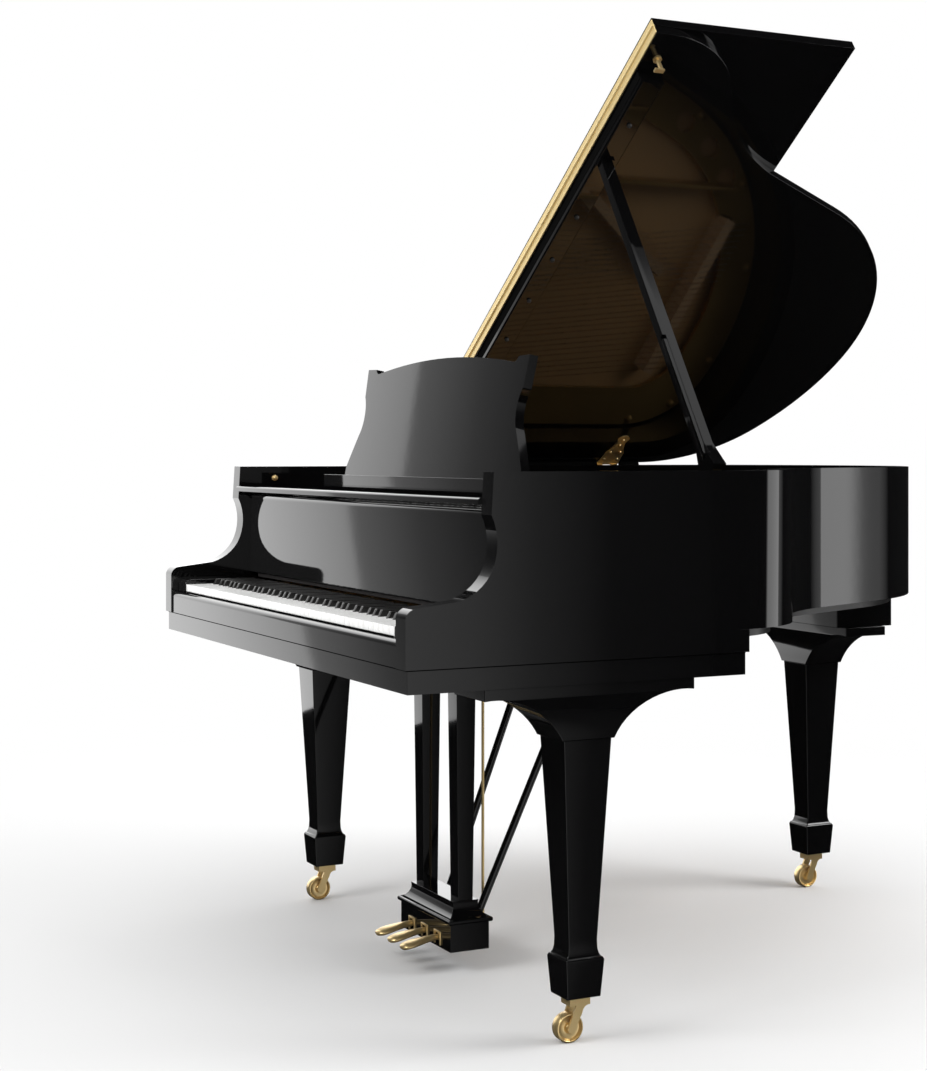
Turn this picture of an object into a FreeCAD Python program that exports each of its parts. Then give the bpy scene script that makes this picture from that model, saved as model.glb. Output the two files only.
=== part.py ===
import FreeCAD, Part
import os
from math import sin, cos, tan, radians, degrees, pi, sqrt, hypot, atan2

# A small grand piano, lid open on its prop and front flap folded back, in millimetres.
# X runs from the bass side to the treble side, Y from the keys to the tail, Z up from the floor.
# Places are worked out in the case's frame: X = 0 is its middle and Y = 0 the front of the arms.
# At the end everything moves so that the origin is under the middle of the whole box.

V = FreeCAD.Vector
OUT_X = V(1, 0, 0)
OUT_Y = V(0, 1, 0)
OUT_Z = V(0, 0, 1)

# Clearances
slide_gap = 0.3
pin_gap = 0.05
overrun = 60.0

# Heights, from the floor up
foot_height = 81.6
leg_height = 455.4
bracket_height = 99.0
key_bed_thickness = 41.0
case_skirt = 41.0
rim_height = 287.0
leg_top = foot_height + leg_height
key_bed_bottom = leg_top + bracket_height
key_bed_top = key_bed_bottom + key_bed_thickness
rim_bottom = key_bed_top + case_skirt
rim_top = rim_bottom + rim_height

# Keys: pitch of the naturals, front parts and sticks
natural_count = 52
natural_pitch = 23.55
natural_gap = 1.05
natural_front = 19.2
natural_head = 51.0
key_stick_end = 400.0
key_lift = 39.0
key_height = 26.0
sharp_width = 10.5
sharp_side_gap = 1.2
sharp_front = 73.6
sharp_slope = 6.0
sharp_rise = 12.0
sharp_length = 95.0
sharp_offset_shares = {"A": 0.15, "C": -0.13, "D": 0.13, "F": -0.15, "G": 0.0}
keyboard_half = natural_count * natural_pitch / 2
shift_room = 4.7
key_bottom = key_bed_top + key_lift
key_top = key_bottom + key_height

# Case in plan: the keyboard sets its width. Straight sides lead into tangent arcs, from the treble
# bend round the tail to the bass side. The arcs keep their turns, and their radii keep these shares
# of each other: one factor and the straight's length fit them to the width and length of the case.
case_length = 1599.0
side_length_share = 0.4034
rim_wall = 42.0
key_block_width = 48.0
treble_bend_radius = 220.0
treble_bend_angle = 65.25
bentside_radius = 480.0
bentside_angle = 40.44
tail_radius = 523.0
tail_angle = 71.23
tail_end_radius = 645.0
tail_end_angle = 26.0
corner_share = 0.104
corner_give_share = 0.1
slim_share = 1.131
inner_half = keyboard_half + shift_room + key_block_width
half_width = inner_half + rim_wall
case_width = half_width * 2
side_length = side_length_share * case_length
deep_side_past_bend = 25.0
deep_side_length = side_length + deep_side_past_bend

# Arms: the side outline from the top front down to the bottom front, as shares of reach and height
arm_reach = 161.0
arm_height = rim_top - key_bed_top
arm_top_share = (1.0, 1.0)
arm_shoulder_share = (0.973, 0.777)
arm_hollow_shares = ((1.04, 0.637), (0.96, 0.47))
arm_sweep_shares = ((0.80, 0.385), (0.596, 0.338))
arm_nose_share = (0.10, 0.309)
arm_nose_round_shares = ((0.027, 0.287), (0.0, 0.235))

# Key bed, key slip and key blocks
key_bed_inset = 4.5
key_bed_front = 5.4
key_bed_past_bend = 19.0
key_bed_end = side_length + key_bed_past_bend
slip_front = 3.0
slip_thickness = 12.0
slip_height = 47.0
slip_round = 5.0
key_block_front = 17.0
key_block_length = 153.0
key_block_height = 75.0
key_block_round = 14.0

# Key frame and action stack, which slide to the treble side with the left pedal
key_frame_front = 22.0
key_frame_end = 425.0
key_frame_thickness = 18.0
key_frame_side_gap = 2.3
key_frame_half = keyboard_half - key_frame_side_gap
front_rail_width = 60.0
front_rail_drop = 11.0
balance_y = 240.0
rail_width = 22.0
rail_ridge = 5.0
back_rail_start = 372.0
hammer_pivot_y = 296.0
hammer_pivot_rise = 58.0
hammer_rail_width = 14.0
hammer_rail_height = 20.0
wippen_rail_y = 365.0
wippen_rail_width = 18.0
wippen_rail_rise = 20.0
wippen_rail_height = 14.0
action_bracket_thickness = 5.0
action_bracket_foot = 20.0
action_bracket_inset = 3.0
hammer_pivot_z = key_top + hammer_pivot_rise
key_frame_bottom = key_bed_top + slide_gap
key_frame_top = key_frame_bottom + key_frame_thickness

# Hammers
hammer_width = 8.0
shank_length = 132.0
shank_thickness = 7.0
shank_nose = 7.0
hammer_head_depth = 16.0
hammer_head_height = 54.0
hammer_crown_depth = 8.0
hammer_crown_height = 15.0

# Wooden structure behind the keys
belly_rail_front = 470.0
belly_rail_width = 40.0
inner_rim_wall = 38.0
inner_rim_drop = 18.0
soundboard_rise = 128.0
soundboard_thickness = 8.0
soundboard_lap = 10.0
rib_width = 22.0
rib_height = 20.0
rib_count = 6
rib_pitch_share = 0.1094
rib_angle = 42.0
beam_width = 62.0
beam_height = 70.0
beam_places_share = (-0.58, -0.16, 0.26)
soundboard_bottom = rim_bottom + soundboard_rise
soundboard_top = soundboard_bottom + soundboard_thickness
inner_rim_bottom = rim_bottom - inner_rim_drop
belly_rail_end = belly_rail_front + belly_rail_width

# Cast iron frame, pin block and stretcher
plate_side_gap = 6.0
plate_lift = 14.0
plate_thickness = 14.0
plate_margin = 100.0
plate_hole_radius = 27.0
plate_boss_radius = 11.0
web_length = 160.0
strike_gap_length = 95.0
cross_rib_width = 26.0
bar_width = 9.0
bar_rise = 43.0
bar_lap = 40.0
bridge_clearance = 7.0
pin_block_front = 225.0
pin_block_length = 150.0
pin_block_thickness = 32.0
stretcher_width = 16.0
stretcher_height = 94.0
plate_bottom = soundboard_top + plate_lift
plate_top = plate_bottom + plate_thickness
pin_block_bottom = plate_bottom - pin_block_thickness
pin_block_end = pin_block_front + pin_block_length
stretcher_top = pin_block_bottom + stretcher_height
web_end = pin_block_front + web_length
strike_gap_end = web_end + strike_gap_length

# Strings: one wire for each note, with breaks for the bars of the iron frame
note_count = 88
bass_count = 26
breaks_after = (26, 44, 60, 74)
break_width = 20.0
string_side_gap = 16.3
string_span = 2 * (keyboard_half - string_side_gap)
string_rise = 11.0
string_thickness = 1.2
string_tail = 60.0
pin_row_start = 262.0
pin_row_step = 26.0
pin_rows = 4
tuning_pin_width = 6.0
tuning_pin_height = 26.0
bass_climb = 21.0
bridge_width = 26.0
treble_bridge_shares = ((0.83, 0.338), (0.467, 0.438), (-0.345, 0.80))
bass_bridge_shares = ((-0.70, 0.80), (-0.15, 0.90))
string_level = plate_top + string_rise
string_pitch = (string_span - len(breaks_after) * break_width) / (note_count - 1)

# Dampers on their lift tray, and the sostenuto rod behind them
damper_count = 66
damper_width = 8.0
damper_start = 434.0
damper_length = 36.0
damper_height = 14.0
damper_wire = 2.0
damper_wire_y = 448.0
damper_tray_start = 430.0
damper_tray_width = 32.0
damper_tray_rise = 3.0
damper_tray_height = 12.0
damper_tray_side = 6.0
damper_tray_half = string_span / 2 + damper_tray_side
sostenuto_y = 459.0
sostenuto_rise = 38.0
sostenuto_radius = 4.0
sostenuto_tab_width = 12.0
sostenuto_tab_height = 6.0
sostenuto_tab_reach = 26.0
sostenuto_ear = 8.0
sostenuto_ear_wall = 6.0
damper_tray_bottom = key_top + damper_tray_rise
sostenuto_z = damper_tray_bottom + damper_tray_height + sostenuto_rise

# Fallboard: its pivot, board and the lip along its edge
fall_pivot_y = 190.0
fall_pivot_rise = 30.0
fall_length = 187.0
fall_thickness = 16.0
fall_lip = 38.0
fall_lip_thickness = 12.0
fall_lean_angle = 2.0
fall_round = 6.0
fall_pin_radius = 4.0
fall_pin_depth = 8.0
fall_pivot_z = key_top + fall_pivot_rise

# Desk rails, tray, music desk and strut
desk_rail_width = 16.0
desk_rail_height = 22.0
desk_rail_start = 212.0
desk_rail_length = 309.0
tray_half = 457.0
tray_front = 285.0
tray_length = 255.0
tray_rail_width = 18.0
tray_rail_height = 36.0
tray_thickness = 14.0
tray_window_half = 205.0
tray_window_start = 322.0
desk_lean_angle = 10.0
desk_pivot_y = 341.0
desk_pivot_rise = 10.0
desk_height = 237.5
desk_thickness = 18.0
desk_half = 408.0
desk_outline_shares = (
    (1.10, 0.0), (1.10, 0.076),
    ((1.055, 0.20), (0.99, 0.37)),
    ((0.948, 0.56), (0.985, 0.74)),
    (1.0, 1.0), (0.885, 0.995),
    ((0.868, 0.965), (0.83, 0.953)),
    ((0.0, 1.04), (-0.83, 0.953)),
    ((-0.868, 0.965), (-0.885, 0.995)),
    (-1.0, 1.0), (-0.985, 0.74),
    ((-0.948, 0.56), (-0.99, 0.37)),
    ((-1.055, 0.20), (-1.10, 0.076)),
    (-1.10, 0.0))
desk_pivot_radius = 4.0
desk_lug_width = 16.0
desk_lug_radius = 8.0
desk_lug_place = 300.0
desk_foot_gap = 1.2
strut_pivot_y = 452.0
strut_half = 150.0
strut_thickness = 8.0
strut_height_share = 0.57
strut_pivot_radius = 3.0
desk_rail_top = stretcher_top + desk_rail_height
tray_bottom = desk_rail_top + slide_gap
tray_top = tray_bottom + tray_thickness
desk_pivot_z = tray_top + desk_pivot_rise
strut_pivot_z = tray_bottom + tray_thickness / 2

# Lid, flap and their hinges. The lid is drawn closed and then turned about its hinge axis.
lid_angle = 35.0
lid_overhang = 12.0
lid_axis_out = 6.0
lid_axis_rise = 6.0
lid_drop = 4.0
lid_thickness = 20.0
lid_setback = 26.0
flap_front = 151.0
flap_gap = 1.0
flap_leaf_thickness = 2.0
flap_knuckle_radius = 3.0
flap_knuckle_gap = 0.4
batten_start_share = 0.07
batten_end_share = 0.93
batten_setback = 4.0
batten_width = 50.0
batten_height = 30.0
batten_round = 4.0
lid_hinge_shares = (0.19, 0.805)
lid_hinge_segments = 3
flap_hinge_segments = 5
flap_pin_radius = 1.5
flap_leaf_width = 17.0
lid_hinge_length = 63.0
lid_hinge_leaf = 118.0
hinge_leaf_base_share = (0.0, 0.5)
hinge_leaf_shares = (((0.20, 0.44), (0.38, 0.413)), ((0.60, 0.24), (0.71, 0.198)),
                     ((0.79, 0.19), (0.84, 0.238)), ((0.95, 0.19), (1.0, 0.0)))
lid_hinge_plate = 3.0
lid_hinge_drop = 45.0
lid_knuckle_radius = 5.0
lid_hinge_pin_radius = 2.5
hook_place_share = 0.955
hook_setback = 30.0
hook_base_radius = 9.0
hook_base_height = 4.0
hook_stem_radius = 4.5
hook_stem_height = 26.0
hook_arm_length = 16.0
lid_front = side_length - lid_setback
flap_length = lid_front - flap_front
lid_axis_x = -half_width - lid_overhang - lid_axis_out
lid_axis_z = rim_top + lid_axis_rise
lid_under = lid_axis_z - lid_drop
lid_over = lid_under + lid_thickness
flap_axis_y = lid_front - flap_leaf_thickness
flap_axis_z = lid_over + flap_gap / 2
flap_under = lid_over + flap_gap
batten_bottom = lid_under - batten_height
lid_left = -half_width - lid_overhang
lid_right = half_width + lid_overhang

# Lid prop, half stick and prop hinge
prop_setback = 21.0
prop_y = lid_front + prop_setback
prop_thickness = 26.0
prop_wall_gap = 20.0
prop_pivot_drop = 25.0
prop_over_angle = 0.9
prop_end_gap = 0.5
prop_foot_radius = 11.0
prop_flare_start = 14.0
prop_flare = 29.0
prop_flare_end = 84.0
prop_half = 11.0
prop_tip_half = 9.0
prop_pin_radius = 5.0
prop_ear = 5.0
prop_ear_drop = 14.0
prop_block = 8.0
half_stick_start = 62.0
half_stick_length = 262.0
half_stick_depth = 7.0
half_stick_width = 9.4
half_stick_pin_radius = 2.0
socket_wall = 3.2
socket_depth = 6.0
socket_gap = 0.6

# Legs, brackets and the block over the rear leg
leg_inset = 73.8
leg_y = 354.3
rear_leg_share = (-0.30, 0.893)
leg_place = (half_width - leg_inset, leg_y)
rear_leg_place = (rear_leg_share[0] * half_width, rear_leg_share[1] * case_length)
leg_top_half = 47.0
leg_neck_half = 28.4
leg_neck_height = 100.0
leg_cove_shares = ((0.12, 0.55), (0.45, 0.80), (0.88, 0.95))
spade_top_half = 38.0
spade_height = 66.0
spade_edge = 4.0
spade_foot_half = 33.0
bracket_plate = 20.5
bracket_foot_half = 51.0
bracket_half_long = 206.0
bracket_half_short = 64.0
rear_bracket_half_long = 222.0
rear_bracket_half_short = 55.0
bracket_hollow_share = (0.30, 0.66)
rear_block_half = 212.0
rear_block_front = 73.0
rear_block_rear = 80.0

# Casters
socket_radius = 12.0
socket_height = 34.0
socket_flange_radius = 19.0
socket_flange = 2.5
stem_radius = 6.0
stem_length = 30.0
wheel_radius = 26.0
wheel_width = 24.0
wheel_rim = 3.0
wheel_hollow = 7.0
wheel_hub_radius = 8.0
wheel_gap = 0.6
axle_radius = 4.0
fork_wall = 5.0
fork_crown = 13.0
fork_half_depth = 20.0
fork_eye_radius = 7.5
fork_arm_front = 7.0
fork_arm_back = 16.0
fork_arm_waist = 5.0
fork_fillet = 12.0
caster_trail = 16.0

# Lyre: top block, posts, pedal box with its moulded top, braces
lyre_y = 379.0
lyre_top_half = 125.0
lyre_top_depth = 46.0
lyre_top_height = 20.0
post_place = 88.0
post_top_half = (22.5, 21.5)
post_foot_half = (19.0, 16.0)
pedal_box_half = 128.0
pedal_box_depth = 84.0
pedal_box_bottom = 43.5
pedal_box_height = 55.0
pedal_box_wall = 12.0
pedal_box_floor = 5.0
pedal_box_roof = 10.0
lip_out = 6.0
lip_height = 9.0
lip_round = 3.0
moulding_height = 32.0
ledge_half = 108.0
ledge_depth = 56.0
moulding_curve_share = 0.28
brace_radius = 8.0
brace_foot = (81.0, 420.0)
brace_head = (121.0, 642.0)
pedal_box_front = lyre_y - pedal_box_depth / 2
pedal_box_rear = lyre_y + pedal_box_depth / 2
lip_bottom = pedal_box_bottom + pedal_box_height
lip_top = lip_bottom + lip_height
ledge_z = lip_top + moulding_height

# Pedals, their rods and the escutcheons they pass through
pedal_pitch = 66.0
pedal_pivot_y = 385.0
pedal_bottom = 56.0
pedal_height = 14.0
pedal_lever_half = 7.0
pedal_neck_half = 8.0
pedal_neck_y = 332.0
pedal_tip_half = 14.5
pedal_tip_y = 247.0
pedal_ball_y = 266.0
pedal_tip_drop = 7.0
pedal_blade = 9.0
pedal_pin_radius = 3.0
pedal_slot_gap = 2.5
pedal_slot_low = 7.5
pedal_slot_high = 7.0
pedal_rear = 442.0
rod_y = 436.0
rod_radius = 3.0
rod_hole_gap = 0.6
shift_rod_top = 9.0
escutcheon_half = 14.5
escutcheon_thickness = 3.0
escutcheon_rim = 3.5
pedal_top = pedal_bottom + pedal_height
pedal_pivot_z = pedal_bottom + pedal_height / 2


# Small helpers for solids

def box(x0, x1, y0, y1, z0, z1):
    return Part.makeBox(x1 - x0, y1 - y0, z1 - z0, V(x0, y0, z0))


def rod_x(radius, x0, x1, y, z):
    return Part.makeCylinder(radius, x1 - x0, V(x0, y, z), OUT_X)


def rod_y_way(radius, x, y0, y1, z):
    return Part.makeCylinder(radius, y1 - y0, V(x, y0, z), OUT_Y)


def rod_z(radius, x, y, z0, z1):
    return Part.makeCylinder(radius, z1 - z0, V(x, y, z0), OUT_Z)


def last_end(steps):
    step = steps[-1]
    return step[1] if isinstance(step[0], tuple) else step


def outline(start, steps, place):
    """A closed wire: each step is an end point, or a middle and an end point for an arc."""
    edges = []
    here = start
    closing = [start] if last_end(steps) != start else []
    for step in list(steps) + closing:
        if isinstance(step[0], tuple):
            middle, end = step
            edges.append(Part.Arc(place(here), place(middle), place(end)).toShape())
        else:
            end = step
            edges.append(Part.LineSegment(place(here), place(end)).toShape())
        here = end
    return Part.Wire(edges)


def prism_x(start, steps, x0, x1):
    """A profile in Y and Z, drawn out along X."""
    wire = outline(start, steps, lambda p: V(x0, p[0], p[1]))
    return Part.Face(wire).extrude(V(x1 - x0, 0, 0))


def prism_y(start, steps, y0, y1):
    """A profile in X and Z, drawn out along Y."""
    wire = outline(start, steps, lambda p: V(p[0], y0, p[1]))
    return Part.Face(wire).extrude(V(0, y1 - y0, 0))


def prism_z(start, steps, z0, z1):
    """A profile in X and Y, drawn out along Z."""
    wire = outline(start, steps, lambda p: V(p[0], p[1], z0))
    return Part.Face(wire).extrude(V(0, 0, z1 - z0))


def square_loft(sections):
    """A solid with flat sides through level rectangles, each a centre, two half sizes and a height."""
    rings = []
    for (x, y), (half_x, half_y), z in sections:
        rings.append([V(x - half_x, y - half_y, z), V(x + half_x, y - half_y, z),
                      V(x + half_x, y + half_y, z), V(x - half_x, y + half_y, z)])
    loops = [rings[0][::-1], rings[-1]]
    for low, high in zip(rings, rings[1:]):
        for index in range(len(low)):
            loops.append([low[index - 1], low[index], high[index], high[index - 1]])
    faces = [Part.Face(Part.makePolygon(loop + loop[:1])) for loop in loops]
    return Part.Solid(Part.Shell(faces))


def joined(shapes):
    result = shapes[0]
    for shape in shapes[1:]:
        result = result.fuse(shape)
    return result.removeSplitter()


def group(shapes):
    """Separate solids that share one node."""
    solids = []
    for shape in shapes:
        solids.extend(shape.Solids)
    return Part.makeCompound(solids)


# The case outline in plan, as tangent arcs

def left_of(heading):
    return (-sin(heading), cos(heading))


case_turns = ((treble_bend_radius, treble_bend_angle, 1), (bentside_radius, -bentside_angle, -1),
              (tail_radius, tail_angle, 1), (tail_end_radius, tail_end_angle, 1))
bentside_heading = pi / 2 + radians(treble_bend_angle - bentside_angle)


def outline_size():
    """The factor on the radii and the length of the straight that give the case its size."""
    run_x, run_y, top, heading = 0, 0, 0, pi / 2
    for radius, turn, side in case_turns:
        last = heading + radians(turn)
        run_x += side * radius * (sin(last) - sin(heading))
        if heading <= pi <= last:
            top = run_y + radius * (1 + cos(heading))
        run_y += side * radius * (cos(heading) - cos(last))
        heading = last
    corner = corner_share * case_width + corner_give_share * (slim_share * case_width - case_length)
    need_x = corner - case_width
    need_y = case_length - side_length
    way_x, way_y = cos(bentside_heading), sin(bentside_heading)
    factor = (need_x * way_y - need_y * way_x) / (run_x * way_y - top * way_x)
    return factor, (need_y - factor * top) / way_y


def outline_arcs():
    """Arcs of the case outline: centre, radius, side it turns to, first and last heading."""
    factor, straight = outline_size()
    x, y, heading = half_width, side_length, pi / 2
    arcs = []
    for radius, turn, side in case_turns:
        size = radius * factor
        away = left_of(heading)
        centre = (x + side * size * away[0], y + side * size * away[1])
        last = heading + radians(turn)
        arcs.append((centre, size, side, heading, last))
        away = left_of(last)
        x = centre[0] - side * size * away[0]
        y = centre[1] - side * size * away[1]
        if side < 0:
            x += straight * cos(last)
            y += straight * sin(last)
        heading = last
    size = (x + half_width) / (1 + sin(heading))
    away = left_of(heading)
    arcs.append(((x + size * away[0], y + size * away[1]), size, 1, heading, 3 * pi / 2))
    return arcs


case_arcs = outline_arcs()


def arc_point(arc, share, inset):
    centre, radius, side, first, last = arc
    away = left_of(first + (last - first) * share)
    size = radius - side * inset
    return (centre[0] - side * size * away[0], centre[1] - side * size * away[1])


def case_prism(inset, front, z0, z1):
    """The case outline moved inwards by inset, from the front line to the tail."""
    side = half_width - inset
    steps = [arc_point(case_arcs[0], 0, inset)]
    for arc in case_arcs:
        start = arc_point(arc, 0, inset)
        if hypot(start[0] - last_end(steps)[0], start[1] - last_end(steps)[1]) > pin_gap:
            steps.append(start)
        steps.append((arc_point(arc, 0.5, inset), arc_point(arc, 1, inset)))
    steps.append((-side, front))
    return prism_z((side, front), steps, z0, z1)


# Case pieces

def arm_point(share):
    return (share[0] * arm_reach, key_bed_top + share[1] * arm_height)


def make_rim():
    ring = case_prism(0, 0, rim_bottom, rim_top)
    ring = ring.cut(case_prism(rim_wall, -overrun, rim_bottom - overrun, rim_top + overrun))
    sides = [ring]
    for side in (-1, 1):
        x0, x1 = sorted((side * inner_half, side * half_width))
        sides.append(box(x0, x1, 0, deep_side_length, key_bed_top, rim_bottom))
    rim = joined(sides)
    steps = [arm_point(arm_shoulder_share),
             tuple(arm_point(share) for share in arm_hollow_shares),
             tuple(arm_point(share) for share in arm_sweep_shares),
             arm_point(arm_nose_share),
             tuple(arm_point(share) for share in arm_nose_round_shares),
             (-overrun, arm_point(arm_nose_round_shares[1])[1]),
             (-overrun, rim_top + overrun),
             (arm_reach, rim_top + overrun)]
    cutter = prism_x(arm_point(arm_top_share), steps, -half_width - overrun, half_width + overrun)
    rim = rim.cut(cutter)
    depth = inner_half + fall_pin_depth
    rim = rim.cut(rod_x(fall_pin_radius + pin_gap, -depth, depth, fall_pivot_y, fall_pivot_z))
    return rim


def make_inner_rim():
    ring = case_prism(rim_wall, belly_rail_end, inner_rim_bottom, soundboard_bottom)
    return ring.cut(case_prism(rim_wall + inner_rim_wall, belly_rail_end - overrun,
                               inner_rim_bottom - overrun, soundboard_bottom + overrun))


def make_key_bed():
    side = half_width - key_bed_inset
    bed = box(-side, side, key_bed_front, key_bed_end, key_bed_bottom, key_bed_top)
    for place in (-pedal_pitch, 0, pedal_pitch):
        bed = bed.cut(rod_z(rod_radius + rod_hole_gap, place, rod_y, key_bed_bottom - overrun,
                            key_bed_top + overrun))
    return bed


def make_key_slip():
    back = slip_front + slip_thickness
    top = key_bed_top + slip_height
    slope = slip_round * (1 - cos(pi / 4))
    steps = [(back, key_bed_top), (back, top), (slip_front + slip_round, top),
             ((slip_front + slope, top - slope), (slip_front, top - slip_round))]
    return prism_x((slip_front, key_bed_top), steps, -inner_half, inner_half)


def make_key_blocks():
    inside = keyboard_half + shift_room
    back = key_block_front + key_block_length
    top = key_bed_top + key_block_height
    slope = key_block_round * (1 - cos(pi / 4))
    steps = [(back, key_bed_top), (back, top), (key_block_front + key_block_round, top),
             ((key_block_front + slope, top - slope), (key_block_front, top - key_block_round))]
    blocks = []
    for x0, x1 in ((-inner_half, -inside), (inside, inner_half)):
        blocks.append(prism_x((key_block_front, key_bed_top), steps, x0, x1))
    return group(blocks)


def make_back_frame():
    """Belly rail with the sostenuto rod's ears, and the beams behind it."""
    rail = box(-inner_half, inner_half, belly_rail_front, belly_rail_end, key_bed_top, soundboard_bottom)
    ears = []
    for x1 in (-damper_tray_half - slide_gap, damper_tray_half + slide_gap + sostenuto_ear):
        ears.append(box(x1 - sostenuto_ear, x1, sostenuto_y - sostenuto_radius - sostenuto_ear_wall,
                        belly_rail_front, sostenuto_z - sostenuto_radius - sostenuto_ear_wall,
                        sostenuto_z + sostenuto_radius + sostenuto_ear_wall))
    rail = joined([rail] + ears)
    reach = damper_tray_half + slide_gap + sostenuto_ear
    rail = rail.cut(rod_x(sostenuto_radius + pin_gap, -reach - overrun, reach + overrun,
                          sostenuto_y, sostenuto_z))
    inside = case_prism(rim_wall + inner_rim_wall, belly_rail_end, inner_rim_bottom,
                        inner_rim_bottom + beam_height)
    beams = []
    for share in beam_places_share:
        middle = share * half_width
        beam = box(middle - beam_width / 2, middle + beam_width / 2, belly_rail_end, case_length,
                   inner_rim_bottom, inner_rim_bottom + beam_height)
        beams.append(beam.common(inside))
    return group([rail] + beams)


def make_pin_block():
    return box(-inner_half, inner_half, pin_block_front, pin_block_end, pin_block_bottom, plate_bottom)


def make_stretcher():
    return box(-inner_half, inner_half, pin_block_front - stretcher_width, pin_block_front,
               pin_block_bottom, stretcher_top)


def make_soundboard():
    return case_prism(rim_wall, belly_rail_front + soundboard_lap, soundboard_bottom, soundboard_top)


def make_ribs():
    inside = case_prism(rim_wall + inner_rim_wall, belly_rail_end, soundboard_bottom - rib_height,
                        soundboard_bottom)
    middle = V(0, (belly_rail_end + case_length) / 2, 0)
    ribs = []
    for index in range(rib_count):
        offset = (index - (rib_count - 1) / 2) * rib_pitch_share * case_length
        rib = box(-case_length, case_length, middle.y + offset - rib_width / 2,
                  middle.y + offset + rib_width / 2, soundboard_bottom - rib_height, soundboard_bottom)
        rib.rotate(middle, OUT_Z, rib_angle)
        ribs.append(rib.common(inside))
    return group(ribs)


# Strings, bridges and iron frame

def string_x(note):
    passed = sum(1 for last in breaks_after if note >= last)
    return -string_span / 2 + note * string_pitch + passed * break_width


def break_middle(last):
    return (string_x(last - 1) + string_x(last)) / 2


def plan_point(share):
    return (share[0] * half_width, share[1] * case_length)


treble_bridge_arc = Part.Arc(*[V(*plan_point(share), 0) for share in treble_bridge_shares]).toShape().Curve
bridge_centre = treble_bridge_arc.Center
bridge_radius = treble_bridge_arc.Radius
bridge_side = 1 if bridge_centre.y < plan_point(treble_bridge_shares[1])[1] else -1


def bridge_y(x):
    return bridge_centre.y + bridge_side * sqrt(bridge_radius ** 2 - (x - bridge_centre.x) ** 2)


def bass_bridge_point(share):
    start, end = [plan_point(point) for point in bass_bridge_shares]
    return (start[0] + (end[0] - start[0]) * share, start[1] + (end[1] - start[1]) * share)


def string_front(note):
    return pin_row_start + (note % pin_rows) * pin_row_step + tuning_pin_width / 2


def string_run(note):
    """First point, bridge point and height gained, in plan, of one note's wire."""
    front = (string_x(note), string_front(note))
    if note < bass_count:
        return front, bass_bridge_point(note / (bass_count - 1)), bass_climb
    return front, (front[0], bridge_y(front[0])), 0


def wire(note):
    front, bridge, climb = string_run(note)
    run = hypot(bridge[0] - front[0], bridge[1] - front[1])
    longer = (run + string_tail) / run
    along = V(bridge[0] - front[0], bridge[1] - front[1], climb) * longer
    half = string_thickness / 2
    corners = [V(front[0] + dx, front[1], string_level + dz)
               for dx, dz in ((-half, -half), (half, -half), (half, half), (-half, half))]
    return Part.Face(Part.makePolygon(corners + corners[:1])).extrude(along)


def make_strings():
    return group([wire(note) for note in range(note_count)])


def make_tuning_pins():
    half = tuning_pin_width / 2
    pins = []
    for note in range(note_count):
        x = string_x(note)
        y = string_front(note) - half - slide_gap
        pins.append(box(x - half, x + half, y - half, y + half, plate_top, plate_top + tuning_pin_height))
    return group(pins)


bridge_top = string_level - string_thickness / 2 - slide_gap


def treble_bridge(extra, bottom, top):
    """The curved bridge, or with extra width the room the iron frame leaves round it."""
    sides = []
    for size in (bridge_radius - bridge_width / 2 - extra, bridge_radius + bridge_width / 2 + extra):
        points = []
        for share in treble_bridge_shares:
            point = plan_point(share)
            scale = size / bridge_radius
            points.append((bridge_centre.x + (point[0] - bridge_centre.x) * scale,
                           bridge_centre.y + (point[1] - bridge_centre.y) * scale))
        sides.append(points)
    (a0, a1, a2), (b0, b1, b2) = sides
    return prism_z(a0, [(a1, a2), b2, (b1, b0)], bottom, top)


def bass_bridge(extra, bottom, top):
    start, end = bass_bridge_point(0), bass_bridge_point(1)
    length = hypot(end[0] - start[0], end[1] - start[1])
    reach = bridge_width / 2 + extra
    bar = box(-reach, length + reach, -reach, reach, bottom, top)
    bar.rotate(V(0, 0, 0), OUT_Z, degrees(atan2(end[1] - start[1], end[0] - start[0])))
    bar.translate(V(start[0], start[1], 0))
    return bar


def make_bridges():
    return group([treble_bridge(0, soundboard_top, bridge_top),
                  bass_bridge(0, soundboard_top, bridge_top + bass_climb - slide_gap)])


plate_hole_shares = ((0, 0.55), (1, 0.1), (1, 0.38), (1, 0.66), (1, 0.94), (2, 0.05), (2, 0.24), (2, 0.43))
plate_boss_shares = ((0, 0.2), (1, 0.5), (2, 0.1), (2, 0.5), (2, 0.9), (3, 0.8), (4, 0.4), (4, 0.9))


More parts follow.
